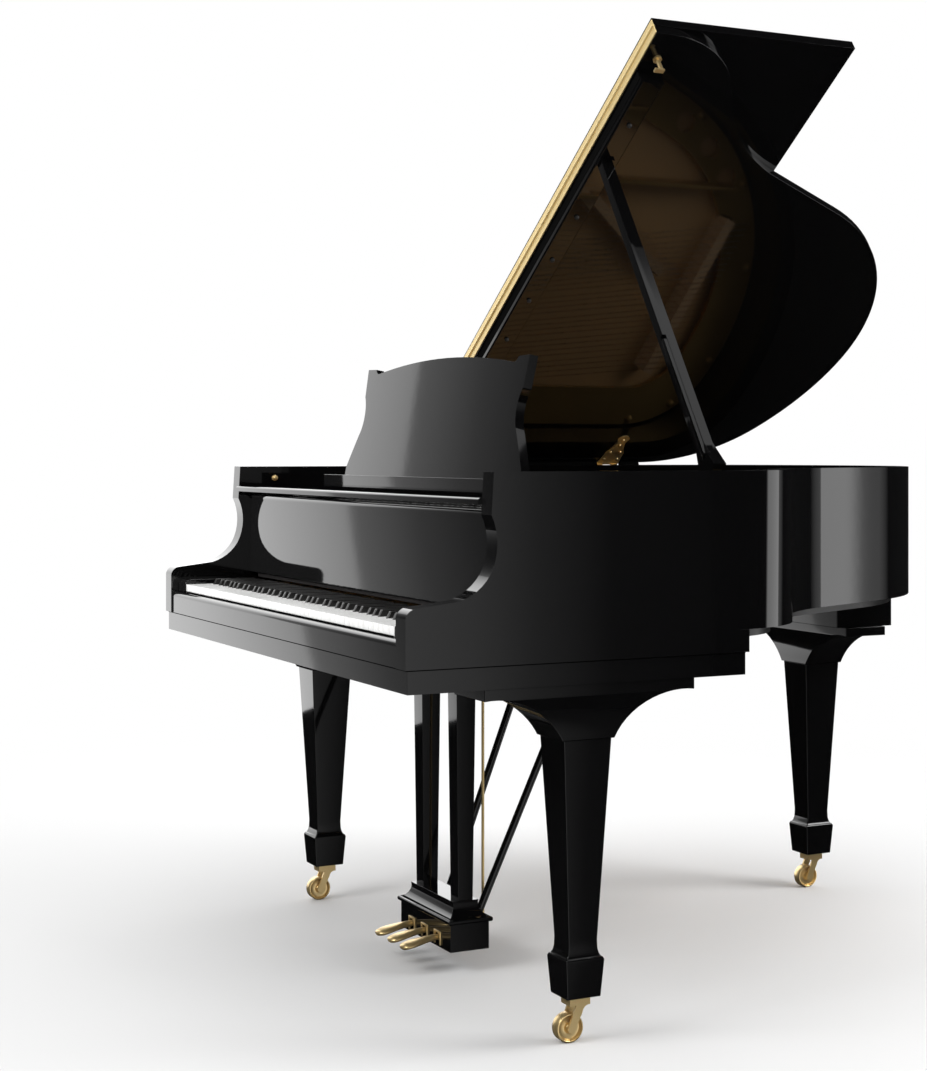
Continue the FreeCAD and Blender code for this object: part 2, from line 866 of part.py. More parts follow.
def make_iron_frame():
    inset = rim_wall + plate_side_gap
    plate = case_prism(inset, pin_block_front, plate_bottom, plate_top)
    low, high = plate_bottom - overrun, plate_top + overrun
    window_start = strike_gap_end + cross_rib_width
    plate = plate.cut(box(-inner_half + plate_margin / 2, inner_half - plate_margin / 2, web_end,
                          strike_gap_end, low, high))
    plate = plate.cut(case_prism(inset + plate_margin, window_start, low, high))
    for arc, share in plate_hole_shares:
        x, y = arc_point(case_arcs[arc], share, inset + plate_margin / 2)
        plate = plate.cut(rod_z(plate_hole_radius, x, y, low, high))
    inside = case_prism(inset + plate_margin / 2, pin_block_front, plate_bottom, plate_top + bar_rise)
    bars = []
    for last in breaks_after[1:]:
        middle = break_middle(last)
        bar = box(middle - bar_width / 2, middle + bar_width / 2, web_end - bar_lap, case_length,
                  plate_bottom, plate_top + bar_rise)
        bars.append(bar.common(inside))
    bosses = []
    for arc, share in plate_boss_shares:
        x, y = arc_point(case_arcs[arc], share, rim_wall + inner_rim_wall / 2)
        bosses.append(rod_z(plate_boss_radius, x, y, soundboard_top, plate_bottom))
    frame = joined([plate] + bars + bosses)
    frame = frame.cut(treble_bridge(bridge_clearance, soundboard_top, bridge_top + bridge_clearance))
    return frame.cut(bass_bridge(bridge_clearance, soundboard_top, high))


# Keys and action

def natural_letter(index):
    return "ABCDEFG"[index % 7]


def has_sharp(index):
    return 0 <= index < natural_count - 1 and natural_letter(index) in sharp_offset_shares


def sharp_x(index):
    return -keyboard_half + (index + 1 + sharp_offset_shares[natural_letter(index)]) * natural_pitch


def key_notes():
    """Note numbers of the naturals and of the sharps, from the bass up."""
    naturals, sharps = [], []
    note = 0
    for index in range(natural_count):
        naturals.append(note)
        note += 1
        if has_sharp(index):
            sharps.append(note)
            note += 1
    return naturals, sharps


def make_natural_keys():
    keys = []
    head_end = natural_front + natural_head
    room = sharp_width / 2 + sharp_side_gap
    for index in range(natural_count):
        left = -keyboard_half + index * natural_pitch + natural_gap / 2
        right = left + natural_pitch - natural_gap
        tail_left = sharp_x(index - 1) + room if has_sharp(index - 1) else left
        tail_right = sharp_x(index) - room if has_sharp(index) else right
        steps = [(right, natural_front), (right, head_end)]
        if tail_right < right:
            steps.append((tail_right, head_end))
        steps += [(tail_right, key_stick_end), (tail_left, key_stick_end), (tail_left, head_end)]
        if tail_left > left:
            steps.append((left, head_end))
        keys.append(prism_z((left, natural_front), steps, key_bottom, key_top))
    return group(keys)


def make_sharp_keys():
    keys = []
    back = sharp_front + sharp_length
    top = key_top + sharp_rise
    steps = [(sharp_front, key_top), (sharp_front + sharp_slope, top), (back, top), (back, key_top),
             (key_stick_end, key_top), (key_stick_end, key_bottom)]
    for index in range(natural_count):
        if has_sharp(index):
            middle = sharp_x(index)
            keys.append(prism_x((sharp_front, key_bottom), steps, middle - sharp_width / 2,
                                middle + sharp_width / 2))
    return group(keys)


def make_key_frame():
    rail_top = key_bottom - slide_gap
    side = key_frame_half
    rails = [box(-side, side, key_frame_front, key_frame_end, key_frame_bottom, key_frame_top),
             prism_x((balance_y - rail_width / 2, key_frame_top),
                     [(balance_y + rail_width / 2, key_frame_top), (balance_y + rail_ridge / 2, rail_top),
                      (balance_y - rail_ridge / 2, rail_top)], -side, side),
             box(-side, side, back_rail_start, key_stick_end, key_frame_top, rail_top),
             box(-side, side, key_frame_front, key_frame_front + front_rail_width, key_frame_top,
                 key_bottom - front_rail_drop)]
    return joined(rails)


def make_action_stack():
    """Two end brackets behind and over the keys, with the hammer rail and the wippen rail."""
    foot = key_stick_end + slide_gap * 10
    rail_end = hammer_pivot_y - shank_nose - slide_gap
    rail_start = rail_end - hammer_rail_width
    rail_low = hammer_pivot_z - hammer_rail_height / 2
    arm_low = key_top + wippen_rail_rise
    top = hammer_pivot_z - shank_thickness / 2 - slide_gap
    steps = [(foot + action_bracket_foot, key_frame_top), (foot + action_bracket_foot, top),
             (rail_end, top), (rail_end, hammer_pivot_z + hammer_rail_height / 2),
             (rail_start, hammer_pivot_z + hammer_rail_height / 2), (rail_start, arm_low), (foot, arm_low)]
    side = key_frame_half - action_bracket_inset
    pieces = []
    for x0 in (-side, side - action_bracket_thickness):
        pieces.append(prism_x((foot, key_frame_top), steps, x0, x0 + action_bracket_thickness))
    inside = side - action_bracket_thickness
    pieces.append(box(-inside, inside, rail_start, rail_end, rail_low, rail_low + hammer_rail_height))
    pieces.append(box(-inside, inside, wippen_rail_y - wippen_rail_width, wippen_rail_y, arm_low,
                      arm_low + wippen_rail_height))
    return joined(pieces)


def hammer(note):
    """Shank and head in one profile, at rest, with the nose at the hammer rail."""
    low = hammer_pivot_z - shank_thickness / 2
    nose = hammer_pivot_y - shank_nose
    head_end = hammer_pivot_y + shank_length
    head_start = head_end - hammer_head_depth
    crown = low + hammer_head_height
    inward = (hammer_head_depth - hammer_crown_depth) / 2
    steps = [(head_end, low), (head_end, crown - hammer_crown_height), (head_end - inward, crown),
             (head_start + inward, crown), (head_start, low + shank_thickness),
             (nose + shank_nose / 2, low + shank_thickness)]
    x = string_x(note)
    return prism_x((nose, low), steps, x - hammer_width / 2, x + hammer_width / 2)


def make_hammers(notes):
    return group([hammer(note) for note in notes])


def make_dampers():
    """Damper heads on wires that stand on one lift tray."""
    tray_top_z = damper_tray_bottom + damper_tray_height
    tray = box(-damper_tray_half, damper_tray_half, damper_tray_start, damper_tray_start + damper_tray_width,
               damper_tray_bottom, tray_top_z)
    clear = rod_radius + rod_hole_gap
    tray = tray.cut(box(-clear, clear, damper_tray_start - overrun, rod_y + clear,
                        damper_tray_bottom - overrun, tray_top_z + overrun))
    pieces = [tray]
    half = damper_wire / 2
    for note in range(damper_count):
        x = string_x(note)
        front, bridge, climb = string_run(note)
        rise = climb * (damper_start + damper_length - front[1]) / (bridge[1] - front[1])
        drift = (bridge[0] - front[0]) * (damper_wire_y - front[1]) / (bridge[1] - front[1])
        low = string_level + string_thickness / 2 + rise + slide_gap
        x += drift
        head = box(x - damper_width / 2, x + damper_width / 2, damper_start, damper_start + damper_length,
                   low, low + damper_height)
        edge = x + damper_width / 2 - damper_wire
        stem = box(edge, edge + damper_wire, damper_wire_y - half, damper_wire_y + half, tray_top_z, low)
        pieces.append(joined([head, stem]))
    return group(pieces)


def make_sostenuto_rod():
    reach = damper_tray_half + slide_gap + sostenuto_ear
    rod = rod_x(sostenuto_radius, -reach, reach, sostenuto_y, sostenuto_z)
    tab = box(-sostenuto_tab_width / 2, sostenuto_tab_width / 2, sostenuto_y - sostenuto_tab_reach,
              sostenuto_y, sostenuto_z - sostenuto_tab_height / 2, sostenuto_z + sostenuto_tab_height / 2)
    return joined([rod, tab])


# Fallboard and music desk

def make_fallboard():
    half = fall_thickness / 2
    bottom = fall_pivot_z - half
    top = fall_pivot_z + fall_length
    face = fall_pivot_y - half
    lip = face - fall_lip
    slope = fall_round * (1 - cos(pi / 4))
    under = top - fall_lip_thickness
    steps = [(fall_pivot_y + half, bottom), (fall_pivot_y + half, top), (lip + fall_round, top),
             ((lip + slope, top - slope), (lip, top - fall_round)), (lip, under), (face, under)]
    side = inner_half - slide_gap
    board = prism_x((face, bottom), steps, -side, side)
    depth = inner_half + fall_pin_depth - slide_gap
    board = joined([board, rod_x(fall_pin_radius, -depth, depth, fall_pivot_y, fall_pivot_z)])
    board.rotate(V(0, fall_pivot_y, fall_pivot_z), OUT_X, -fall_lean_angle)
    return board


def make_desk_rails():
    rails = []
    for side in (-1, 1):
        middle = side * (tray_half - desk_rail_width)
        rails.append(box(middle - desk_rail_width / 2, middle + desk_rail_width / 2, desk_rail_start,
                         desk_rail_start + desk_rail_length, stretcher_top, desk_rail_top))
    return group(rails)


def make_desk_tray():
    """A rail with round ends in front of a panel that is open behind the music desk."""
    end = tray_half - tray_rail_width / 2
    back = tray_front + tray_rail_width
    middle = tray_front + tray_rail_width / 2
    steps = [(end, tray_front), ((tray_half, middle), (end, back)), (-end, back),
             ((-tray_half, middle), (-end, tray_front))]
    rail = prism_z((-end, tray_front), steps, tray_bottom, tray_bottom + tray_rail_height)
    panel = box(-end, end, middle, tray_front + tray_length, tray_bottom, tray_top)
    window = box(-tray_window_half, tray_window_half, tray_window_start, tray_front + tray_length + overrun,
                 tray_bottom - overrun, tray_top + overrun)
    lugs = []
    for place in (-desk_lug_place, desk_lug_place):
        for x0 in (place - desk_lug_width * 1.5 - slide_gap, place + desk_lug_width / 2 + slide_gap):
            lugs.append(desk_lug(x0, tray_top))
    tray = joined([rail, panel.cut(window)] + lugs)
    tray = tray.cut(rod_x(strut_pivot_radius + pin_gap, -tray_window_half - overrun / 4,
                          tray_window_half + overrun / 4, strut_pivot_y, strut_pivot_z))
    pins = []
    for place in (-desk_lug_place, desk_lug_place):
        pins.append(rod_x(desk_pivot_radius, place - desk_lug_width, place + desk_lug_width,
                          desk_pivot_y, desk_pivot_z))
    return joined([tray] + pins)


def desk_lug(x0, bottom):
    """A standing ear with a round top about the desk's pivot."""
    steps = [(desk_pivot_y + desk_lug_radius, bottom), (desk_pivot_y + desk_lug_radius, desk_pivot_z),
             ((desk_pivot_y, desk_pivot_z + desk_lug_radius), (desk_pivot_y - desk_lug_radius, desk_pivot_z))]
    return prism_x((desk_pivot_y - desk_lug_radius, bottom), steps, x0, x0 + desk_lug_width)


def make_music_desk():
    """A board with a flared foot, drawn-in sides, two ears and an arched top, leaning back."""
    foot = desk_pivot_z + desk_lug_radius + desk_foot_gap

    def scaled(share):
        if isinstance(share[0], tuple):
            return tuple(scaled(part) for part in share)
        return (share[0] * desk_half, foot + share[1] * desk_height)

    start = scaled((-desk_outline_shares[0][0], desk_outline_shares[0][1]))
    half = desk_thickness / 2
    board = prism_y(start, [scaled(share) for share in desk_outline_shares[:-1]],
                    desk_pivot_y - half, desk_pivot_y + half)
    lugs = []
    for place in (-desk_lug_place, desk_lug_place):
        neck = box(place - desk_lug_width / 2, place + desk_lug_width / 2, desk_pivot_y - desk_lug_radius,
                   desk_pivot_y + desk_lug_radius, desk_pivot_z, foot)
        eye = rod_x(desk_lug_radius, place - desk_lug_width / 2, place + desk_lug_width / 2, desk_pivot_y,
                    desk_pivot_z)
        lugs.append(joined([neck, eye]))
    desk = joined([board] + lugs)
    desk = desk.cut(rod_x(desk_pivot_radius + pin_gap, -desk_half, desk_half, desk_pivot_y, desk_pivot_z))
    desk.rotate(V(0, desk_pivot_y, desk_pivot_z), OUT_X, -desk_lean_angle)
    return desk


def strut_tip():
    """Middle of the strut's round tip, just behind the leaning desk."""
    up = (sin(radians(desk_lean_angle)), cos(radians(desk_lean_angle)))
    out = (cos(radians(desk_lean_angle)), -sin(radians(desk_lean_angle)))
    along = desk_height * strut_height_share
    off = desk_thickness / 2 + strut_thickness / 2 + slide_gap
    return (desk_pivot_y + along * up[0] + off * out[0], desk_pivot_z + along * up[1] + off * out[1])


def make_desk_strut():
    tip = strut_tip()
    length = hypot(tip[0] - strut_pivot_y, tip[1] - strut_pivot_z)
    half = strut_thickness / 2
    y, z = strut_pivot_y, strut_pivot_z
    steps = [((y, z - half), (y + half, z)), (y + half, z + length),
             ((y, z + length + half), (y - half, z + length))]
    blade = prism_x((y - half, z), steps, -strut_half, strut_half)
    reach = tray_window_half + overrun / 4 - slide_gap
    strut = joined([blade, rod_x(strut_pivot_radius, -reach, reach, y, z)])
    strut.rotate(V(0, y, z), OUT_X, degrees(atan2(strut_pivot_y - tip[0], tip[1] - strut_pivot_z)))
    return strut


# Lid, flap and hinges

def open_lid(shape):
    shape.rotate(V(lid_axis_x, 0, lid_axis_z), V(0, -1, 0), lid_angle)
    return shape


def flap_knuckle_room():
    return rod_x(flap_knuckle_radius + flap_knuckle_gap, lid_left - overrun, lid_right + overrun,
                 flap_axis_y, flap_axis_z)


def make_lid():
    lid = case_prism(-lid_overhang, lid_front, lid_under, lid_over)
    return open_lid(lid.cut(flap_knuckle_room()))


def make_lid_flap():
    flap = box(lid_left, lid_right, lid_front, lid_front + flap_length, flap_under, flap_under + lid_thickness)
    return open_lid(flap.cut(flap_knuckle_room()))


def flap_hinge(first):
    """One leaf of the long hinge: a strip on the front edge with every second knuckle."""
    front = flap_axis_y + flap_knuckle_gap / 2
    if first == 0:
        strip = box(lid_left, lid_right, front, lid_front, lid_over - flap_leaf_width, flap_axis_z)
    else:
        strip = box(lid_left, lid_right, front, lid_front, flap_axis_z, flap_under + flap_leaf_width)
    strip = strip.cut(flap_knuckle_room())
    length = (lid_right - lid_left) / flap_hinge_segments
    pieces = [strip]
    for index in range(first, flap_hinge_segments, 2):
        x0 = lid_left + index * length + slide_gap / 2
        x1 = x0 + length - slide_gap
        pieces.append(rod_x(flap_knuckle_radius, x0, x1, flap_axis_y, flap_axis_z))
        z0, z1 = sorted((flap_axis_z, flap_axis_z + (first * 2 - 1) * flap_knuckle_radius * 2))
        pieces.append(box(x0, x1, front, lid_front, z0, z1))
    leaf = joined(pieces)
    if first == 0:
        leaf = joined([leaf, rod_x(flap_pin_radius, lid_left, lid_right, flap_axis_y, flap_axis_z)])
    else:
        leaf = leaf.cut(rod_x(flap_pin_radius + pin_gap, lid_left - overrun, lid_right + overrun,
                              flap_axis_y, flap_axis_z))
    return open_lid(leaf)


def lid_s(share):
    return lid_left + share * (lid_right - lid_left)


def prop_foot():
    return (inner_half - prop_wall_gap, rim_top - prop_pivot_drop)


def on_lid(x, z):
    """A place in the case given along the opened lid and square to it, from the hinge axis."""
    dx, dz = x - lid_axis_x, z - lid_axis_z
    turn = radians(lid_angle)
    return (dx * cos(turn) + dz * sin(turn), dz * cos(turn) - dx * sin(turn))


def prop_length():
    return batten_bottom - lid_axis_z - on_lid(*prop_foot())[1] - prop_end_gap


prop_lean_angle = lid_angle - prop_over_angle


def prop_seat_x():
    """Where the prop's tip meets the batten, on the closed lid."""
    along = on_lid(*prop_foot())[0] + prop_length() * sin(radians(prop_over_angle))
    return lid_axis_x + along


def make_lid_batten():
    y0 = lid_front + batten_setback
    y1 = y0 + batten_width
    slope = batten_round * (1 - cos(pi / 4))
    steps = [((y1 - slope, batten_bottom + slope), (y1, batten_bottom + batten_round)),
             (y1, lid_under), (y0, lid_under), (y0, batten_bottom + batten_round),
             ((y0 + slope, batten_bottom + slope), (y0 + batten_round, batten_bottom))]
    start = (y1 - batten_round, batten_bottom)
    batten = prism_x(start, steps, lid_s(batten_start_share), lid_s(batten_end_share))
    inside = prop_thickness / 2 + socket_gap
    outside = inside + socket_wall
    seat = prop_seat_x()
    stop = seat + prop_tip_half + socket_gap
    low, high = batten_bottom - socket_depth, batten_bottom + batten_round
    shoe = box(seat - prop_tip_half, stop + socket_wall, prop_y - outside, prop_y + outside, low, high)
    shoe = shoe.cut(box(seat - overrun, stop, prop_y - inside, prop_y + inside, low - overrun, high + overrun))
    shoe = shoe.cut(box(lid_left, lid_right, lid_front, y0, low - overrun, high + overrun))
    return open_lid(joined([batten, shoe]))


def make_lid_hook():
    x = lid_s(hook_place_share)
    y = lid_front + hook_setback
    low = lid_under - hook_base_height - hook_stem_height
    pieces = [rod_z(hook_base_radius, x, y, lid_under - hook_base_height, lid_under),
              rod_z(hook_stem_radius, x, y, low, lid_under - hook_base_height),
              box(x - hook_stem_radius, x + hook_stem_radius, y - hook_arm_length, y + hook_stem_radius,
                  low - hook_stem_radius, low)]
    return open_lid(joined(pieces))


def spine_end():
    return arc_point(case_arcs[-1], 1, 0)[1]


def lid_hinge_starts():
    return [lid_front + share * (spine_end() - lid_front) for share in lid_hinge_shares]


def hinge_segments(start, first):
    """Lengths along Y of every second knuckle of one lid hinge."""
    length = lid_hinge_length / lid_hinge_segments
    return [(start + index * length + slide_gap / 2, start + (index + 1) * length - slide_gap / 2)
            for index in range(first, lid_hinge_segments, 2)]


def make_lid_hinge_bases():
    top = lid_under - lid_hinge_plate - slide_gap * 3
    plate_x = -half_width - lid_hinge_plate
    hinges = []
    for start in lid_hinge_starts():
        end = start + lid_hinge_length
        pieces = [box(plate_x, -half_width, start, end, top - lid_hinge_drop, top)]
        for y0, y1 in hinge_segments(start, 0):
            pieces.append(rod_y_way(lid_knuckle_radius, lid_axis_x, y0, y1, lid_axis_z))
            steps = [(-half_width - lid_hinge_plate, top - lid_knuckle_radius * 3),
                     (lid_axis_x - lid_hinge_plate, lid_axis_z - lid_hinge_plate),
                     (lid_axis_x + lid_hinge_plate, lid_under - lid_hinge_plate)]
            pieces.append(prism_y((-half_width, top), steps, y0, y1))
        pieces.append(rod_y_way(lid_hinge_pin_radius, lid_axis_x, start, end, lid_axis_z))
        hinges.append(joined(pieces))
    return group(hinges)


def hinge_leaf(x, y, low):
    """The waisted leaf of a lid hinge, from its straight edge at x out to the tip."""
    def at(share, side):
        return (x + share[0] * lid_hinge_leaf, y + side * share[1] * lid_hinge_length)

    middles = [middle for middle, end in hinge_leaf_shares]
    ends = [hinge_leaf_base_share] + [end for middle, end in hinge_leaf_shares]
    steps = [(at(middle, 1), at(end, 1)) for middle, end in zip(middles, ends[1:])]
    steps += [(at(middle, -1), at(end, -1)) for middle, end in zip(middles[::-1], ends[-2::-1])]
    return prism_z(at(hinge_leaf_base_share, 1), steps, low, lid_under)


def make_lid_hinge_leaves():
    clear = lid_knuckle_radius + lid_hinge_plate / 2
    low = lid_under - lid_hinge_plate * 2 / 3
    leaves = []
    for start in lid_hinge_starts():
        end = start + lid_hinge_length
        pieces = [hinge_leaf(lid_axis_x + clear, (start + end) / 2, low)]
        for y0, y1 in hinge_segments(start, 1):
            pieces.append(rod_y_way(lid_knuckle_radius, lid_axis_x, y0, y1, lid_axis_z))
            pieces.append(box(lid_axis_x, lid_axis_x + clear + lid_hinge_plate, y0, y1, low, lid_under))
        leaf = joined(pieces)
        leaf = leaf.cut(rod_y_way(lid_hinge_pin_radius + pin_gap, lid_axis_x, start - overrun, end + overrun,
                                  lid_axis_z))
        leaves.append(leaf)
    return open_lid(group(leaves))


# Prop

def lean_prop(shape):
    x, z = prop_foot()
    shape.rotate(V(x, prop_y, z), V(0, -1, 0), prop_lean_angle)
    return shape


def make_lid_prop():
    x, z = prop_foot()
    top = z + prop_length()
    steps = [(x + prop_half, z + prop_flare_start),
             (x + prop_flare, z + prop_flare_start + prop_half), (x + prop_half, z + prop_flare_end),
             (x + prop_tip_half, top), (x - prop_tip_half, top), (x - prop_half, z + prop_flare_end),
             (x - prop_flare, z + prop_flare_start + prop_half), (x - prop_half, z + prop_flare_start),
             (x - prop_foot_radius, z)]
    y0 = prop_y - prop_thickness / 2
    y1 = prop_y + prop_thickness / 2
    prop = prism_y((x + prop_foot_radius, z), steps, y0, y1)
    foot = rod_y_way(prop_foot_radius, x, y0, y1, z)
    prop = joined([prop, foot])
    start = z + half_stick_start - half_stick_width
    end = z + half_stick_start + half_stick_length + half_stick_width
    prop = prop.cut(box(x, x + overrun, y0 - overrun, y0 + half_stick_depth + slide_gap, start, end))
    prop = prop.cut(rod_y_way(prop_pin_radius + pin_gap, x, y0 - overrun, y1 + overrun, z))
    pivot_x, pivot_z = half_stick_pivot()
    pin = rod_y_way(half_stick_pin_radius, pivot_x, y0, y0 + half_stick_depth * 2, pivot_z)
    return lean_prop(joined([prop, pin]))


def half_stick_pivot():
    x, z = prop_foot()
    return (x + slide_gap + half_stick_width / 2, z + half_stick_start)


def make_half_stick():
    x, z = half_stick_pivot()
    half = half_stick_width / 2
    y0 = prop_y - prop_thickness / 2
    steps = [(x + half, z + half_stick_length), (x - half, z + half_stick_length), (x - half, z)]
    stick = prism_y((x + half, z), steps, y0, y0 + half_stick_depth)
    stick = joined([stick, rod_y_way(half, x, y0, y0 + half_stick_depth, z)])
    stick = stick.cut(rod_y_way(half_stick_pin_radius + pin_gap, x, y0 - overrun, y0 + overrun, z))
    return lean_prop(stick)


def make_prop_hinge():
    x, z = prop_foot()
    inside = prop_thickness / 2 + slide_gap
    outside = inside + prop_ear
    block_x = inner_half - prop_block
    low = z - prop_foot_radius - prop_ear_drop
    pieces = [box(block_x, inner_half, prop_y - outside, prop_y + outside, low, z + prop_foot_radius)]
    for y0 in (prop_y - outside, prop_y + inside):
        pieces.append(box(x, inner_half, y0, y0 + prop_ear, z - prop_foot_radius, z + prop_foot_radius))
        pieces.append(rod_y_way(prop_foot_radius, x, y0, y0 + prop_ear, z))
    pieces.append(rod_y_way(prop_pin_radius, x, prop_y - outside, prop_y + outside, z))
    hinge = joined(pieces)
    return hinge.common(case_prism(rim_wall, 0, low - overrun, z + overrun))


# Legs, brackets and casters

def bracket(place, half_x, half_y):
    """A plate that runs down to the leg in hollow curves, the same in both directions."""
    plate_low = key_bed_bottom - bracket_plate

    def profile(middle, half):
        reach = half - bracket_foot_half
        rise = plate_low - leg_top
        hollow = bracket_foot_half + bracket_hollow_share[0] * reach
        level = leg_top + bracket_hollow_share[1] * rise
        return ((middle - bracket_foot_half, leg_top),
                [(middle + bracket_foot_half, leg_top),
                 ((middle + hollow, level), (middle + half, plate_low)),
                 (middle + half, key_bed_bottom), (middle - half, key_bed_bottom),
                 (middle - half, plate_low),
                 ((middle - hollow, level), (middle - bracket_foot_half, leg_top))])

    start_x, steps_x = profile(place[0], half_x)
    start_y, steps_y = profile(place[1], half_y)
    along_x = prism_y(start_x, steps_x, place[1] - half_y, place[1] + half_y)
    along_y = prism_x(start_y, steps_y, place[0] - half_x, place[0] + half_x)
    return along_x.common(along_y)


leg_places = ((-leg_place[0], leg_place[1]), leg_place, rear_leg_place)


def make_leg_brackets():
    front = [bracket(place, bracket_half_short, bracket_half_long) for place in leg_places[:2]]
    return group(front + [bracket(leg_places[2], rear_bracket_half_long, rear_bracket_half_short)])


def make_rear_leg_block():
    x, y = rear_leg_place
    return box(x - rear_block_half, x + rear_block_half, y - rear_block_front, y + rear_block_rear,
               key_bed_bottom, inner_rim_bottom)


def make_leg(place):
    levels = [(spade_foot_half, 0), (spade_top_half, spade_height),
              (spade_top_half - spade_edge / 2, spade_height + spade_edge)]
    rise = leg_neck_height - spade_height - spade_edge
    for wide, low in reversed(leg_cove_shares):
        half = leg_neck_half + wide * (spade_top_half - spade_edge - leg_neck_half)
        levels.append((half, spade_height + spade_edge + (1 - low) * rise))
    levels += [(leg_neck_half, leg_neck_height), (leg_top_half, leg_height)]
    sections = [(place, (half, half), foot_height + height) for half, height in levels]
    leg = square_loft(sections)
    hole = rod_z(socket_radius + pin_gap, place[0], place[1], foot_height - overrun,
                 foot_height + socket_height + slide_gap)
    return leg.cut(hole)


socket_bottom = foot_height - socket_flange
fork_top = socket_bottom - slide_gap


def make_caster_sockets():
    sockets = []
    for x, y in leg_places:
        socket = joined([rod_z(socket_flange_radius, x, y, socket_bottom, foot_height),
                         rod_z(socket_radius, x, y, foot_height, foot_height + socket_height)])
        deep = fork_top + stem_length + slide_gap * 2
        bore = rod_z(stem_radius + pin_gap, x, y, socket_bottom - overrun, deep)
        sockets.append(socket.cut(bore))
    return group(sockets)


def make_caster_fork(place):
    """Stem, crown, two side plates and the wheel's axle; the wheel trails towards the keys."""
    x, y = place
    axle_y = y - caster_trail
    inside = wheel_width / 2 + wheel_gap
    outside = inside + fork_wall
    crown = fork_top - fork_crown
    pieces = [rod_z(stem_radius, x, y, fork_top, fork_top + stem_length),
              box(x - outside, x + outside, y - fork_half_depth, y + fork_half_depth, crown, fork_top)]
    waist = y + fork_arm_waist
    hollow = waist + (fork_arm_back - fork_arm_waist) / 3
    steps = [(y + fork_arm_back, crown),
             ((hollow, crown - fork_fillet / 3), (waist, crown - fork_fillet)),
             (axle_y + fork_eye_radius, wheel_radius),
             ((axle_y, wheel_radius - fork_eye_radius), (axle_y - fork_eye_radius, wheel_radius))]
    for x0 in (x - outside, x + inside):
        pieces.append(prism_x((y - fork_arm_front, crown), steps, x0, x0 + fork_wall))
    pieces.append(rod_x(axle_radius, x - outside, x + outside, axle_y, wheel_radius))
    return joined(pieces)


def make_caster_wheel(place):
    """A wheel with dished sides and a hub as wide as its tread."""
    half = wheel_width / 2
    bore = axle_radius + pin_gap
    well = (wheel_hub_radius + wheel_radius) / 2
    steps = [(half, bore), (half, wheel_hub_radius), (half - wheel_hollow, well),
             (half, wheel_radius - wheel_rim), (half, wheel_radius), (-half, wheel_radius), (-half, wheel_radius - wheel_rim),
             (wheel_hollow - half, well), (-half, wheel_hub_radius)]
    profile = outline((-half, bore), steps, lambda p: V(p[0], 0, p[1]))
    wheel = Part.Face(profile).revolve(V(0, 0, 0), OUT_X, 360)
    wheel.translate(V(place[0], place[1] - caster_trail, wheel_radius))
    return wheel


# Lyre and pedals

pedal_places = (-pedal_pitch, 0, pedal_pitch)


def make_lyre_frame():
    half_depth = lyre_top_depth / 2
    block = box(-lyre_top_half, lyre_top_half, lyre_y - half_depth, lyre_y + half_depth,
                key_bed_bottom - lyre_top_height, key_bed_bottom)
    posts = []
    for side in (-1, 1):
        middle = (side * post_place, lyre_y)
        posts.append(square_loft([(middle, post_foot_half, ledge_z),
                                  (middle, post_top_half, key_bed_bottom - lyre_top_height)]))
    return joined([block] + posts)


def moulding_profile(half_low, half_high, middle):
    """A hollow curve from the lip up to the ledge."""
    run = half_low - half_high
    hollow = half_high + moulding_curve_share * run
    level = lip_top + moulding_curve_share * moulding_height
    return ((middle - half_low, lip_top),
            [(middle + half_low, lip_top), ((middle + hollow, level), (middle + half_high, ledge_z)),
             (middle - half_high, ledge_z), ((middle - hollow, level), (middle - half_low, lip_top))])


def make_pedal_box():
    half = pedal_box_depth / 2
    wall = pedal_box_wall
    shell = box(-pedal_box_half, pedal_box_half, pedal_box_front, pedal_box_rear, pedal_box_bottom, lip_bottom)
    room = box(wall - pedal_box_half, pedal_box_half - wall, pedal_box_front + wall, pedal_box_rear - wall,
               pedal_box_bottom + pedal_box_floor, lip_bottom - pedal_box_roof)
    shell = shell.cut(room)
    lip = box(-pedal_box_half - lip_out, pedal_box_half + lip_out, pedal_box_front - lip_out,
              pedal_box_rear + lip_out, lip_bottom, lip_top)
    level_edges = [edge for edge in lip.Edges if edge.BoundBox.ZLength < pin_gap]
    lip = lip.makeFillet(lip_round, level_edges)
    inward = lip_round
    start_x, steps_x = moulding_profile(pedal_box_half + lip_out - inward, ledge_half, 0)
    start_y, steps_y = moulding_profile(half + lip_out - inward, ledge_depth / 2, lyre_y)
    moulding = prism_y(start_x, steps_x, lyre_y - half - lip_out, lyre_y + half + lip_out)
    moulding = moulding.common(prism_x(start_y, steps_y, -pedal_box_half - lip_out, pedal_box_half + lip_out))
    shell = joined([shell, lip, moulding])
    slot_half = pedal_neck_half + pedal_slot_gap
    for place in pedal_places:
        shell = shell.cut(box(place - slot_half, place + slot_half, pedal_box_front - overrun,
                              pedal_box_front + wall, pedal_bottom - pedal_slot_low, pedal_top + pedal_slot_gap))
        shell = shell.cut(box(place - slot_half, place + slot_half, pedal_box_rear - wall,
                              pedal_box_rear + overrun, pedal_bottom - pedal_slot_gap,
                              pedal_top + pedal_slot_high))
    rod = rod_x(pedal_pin_radius, wall / 2 - pedal_box_half, pedal_box_half - wall / 2, pedal_pivot_y,
                pedal_pivot_z)
    return joined([shell, rod])


def make_escutcheons():
    plates = []
    slot_half = pedal_neck_half + pedal_slot_gap
    low = pedal_bottom - pedal_slot_low
    high = pedal_top + pedal_slot_gap
    for place in pedal_places:
        plate = box(place - escutcheon_half, place + escutcheon_half, pedal_box_front - escutcheon_thickness,
                    pedal_box_front, low, high + escutcheon_rim)
        hole = box(place - slot_half, place + slot_half, pedal_box_front - overrun, pedal_box_front + overrun,
                   low - overrun, high)
        plates.append(plate.cut(hole))
    return group(plates)


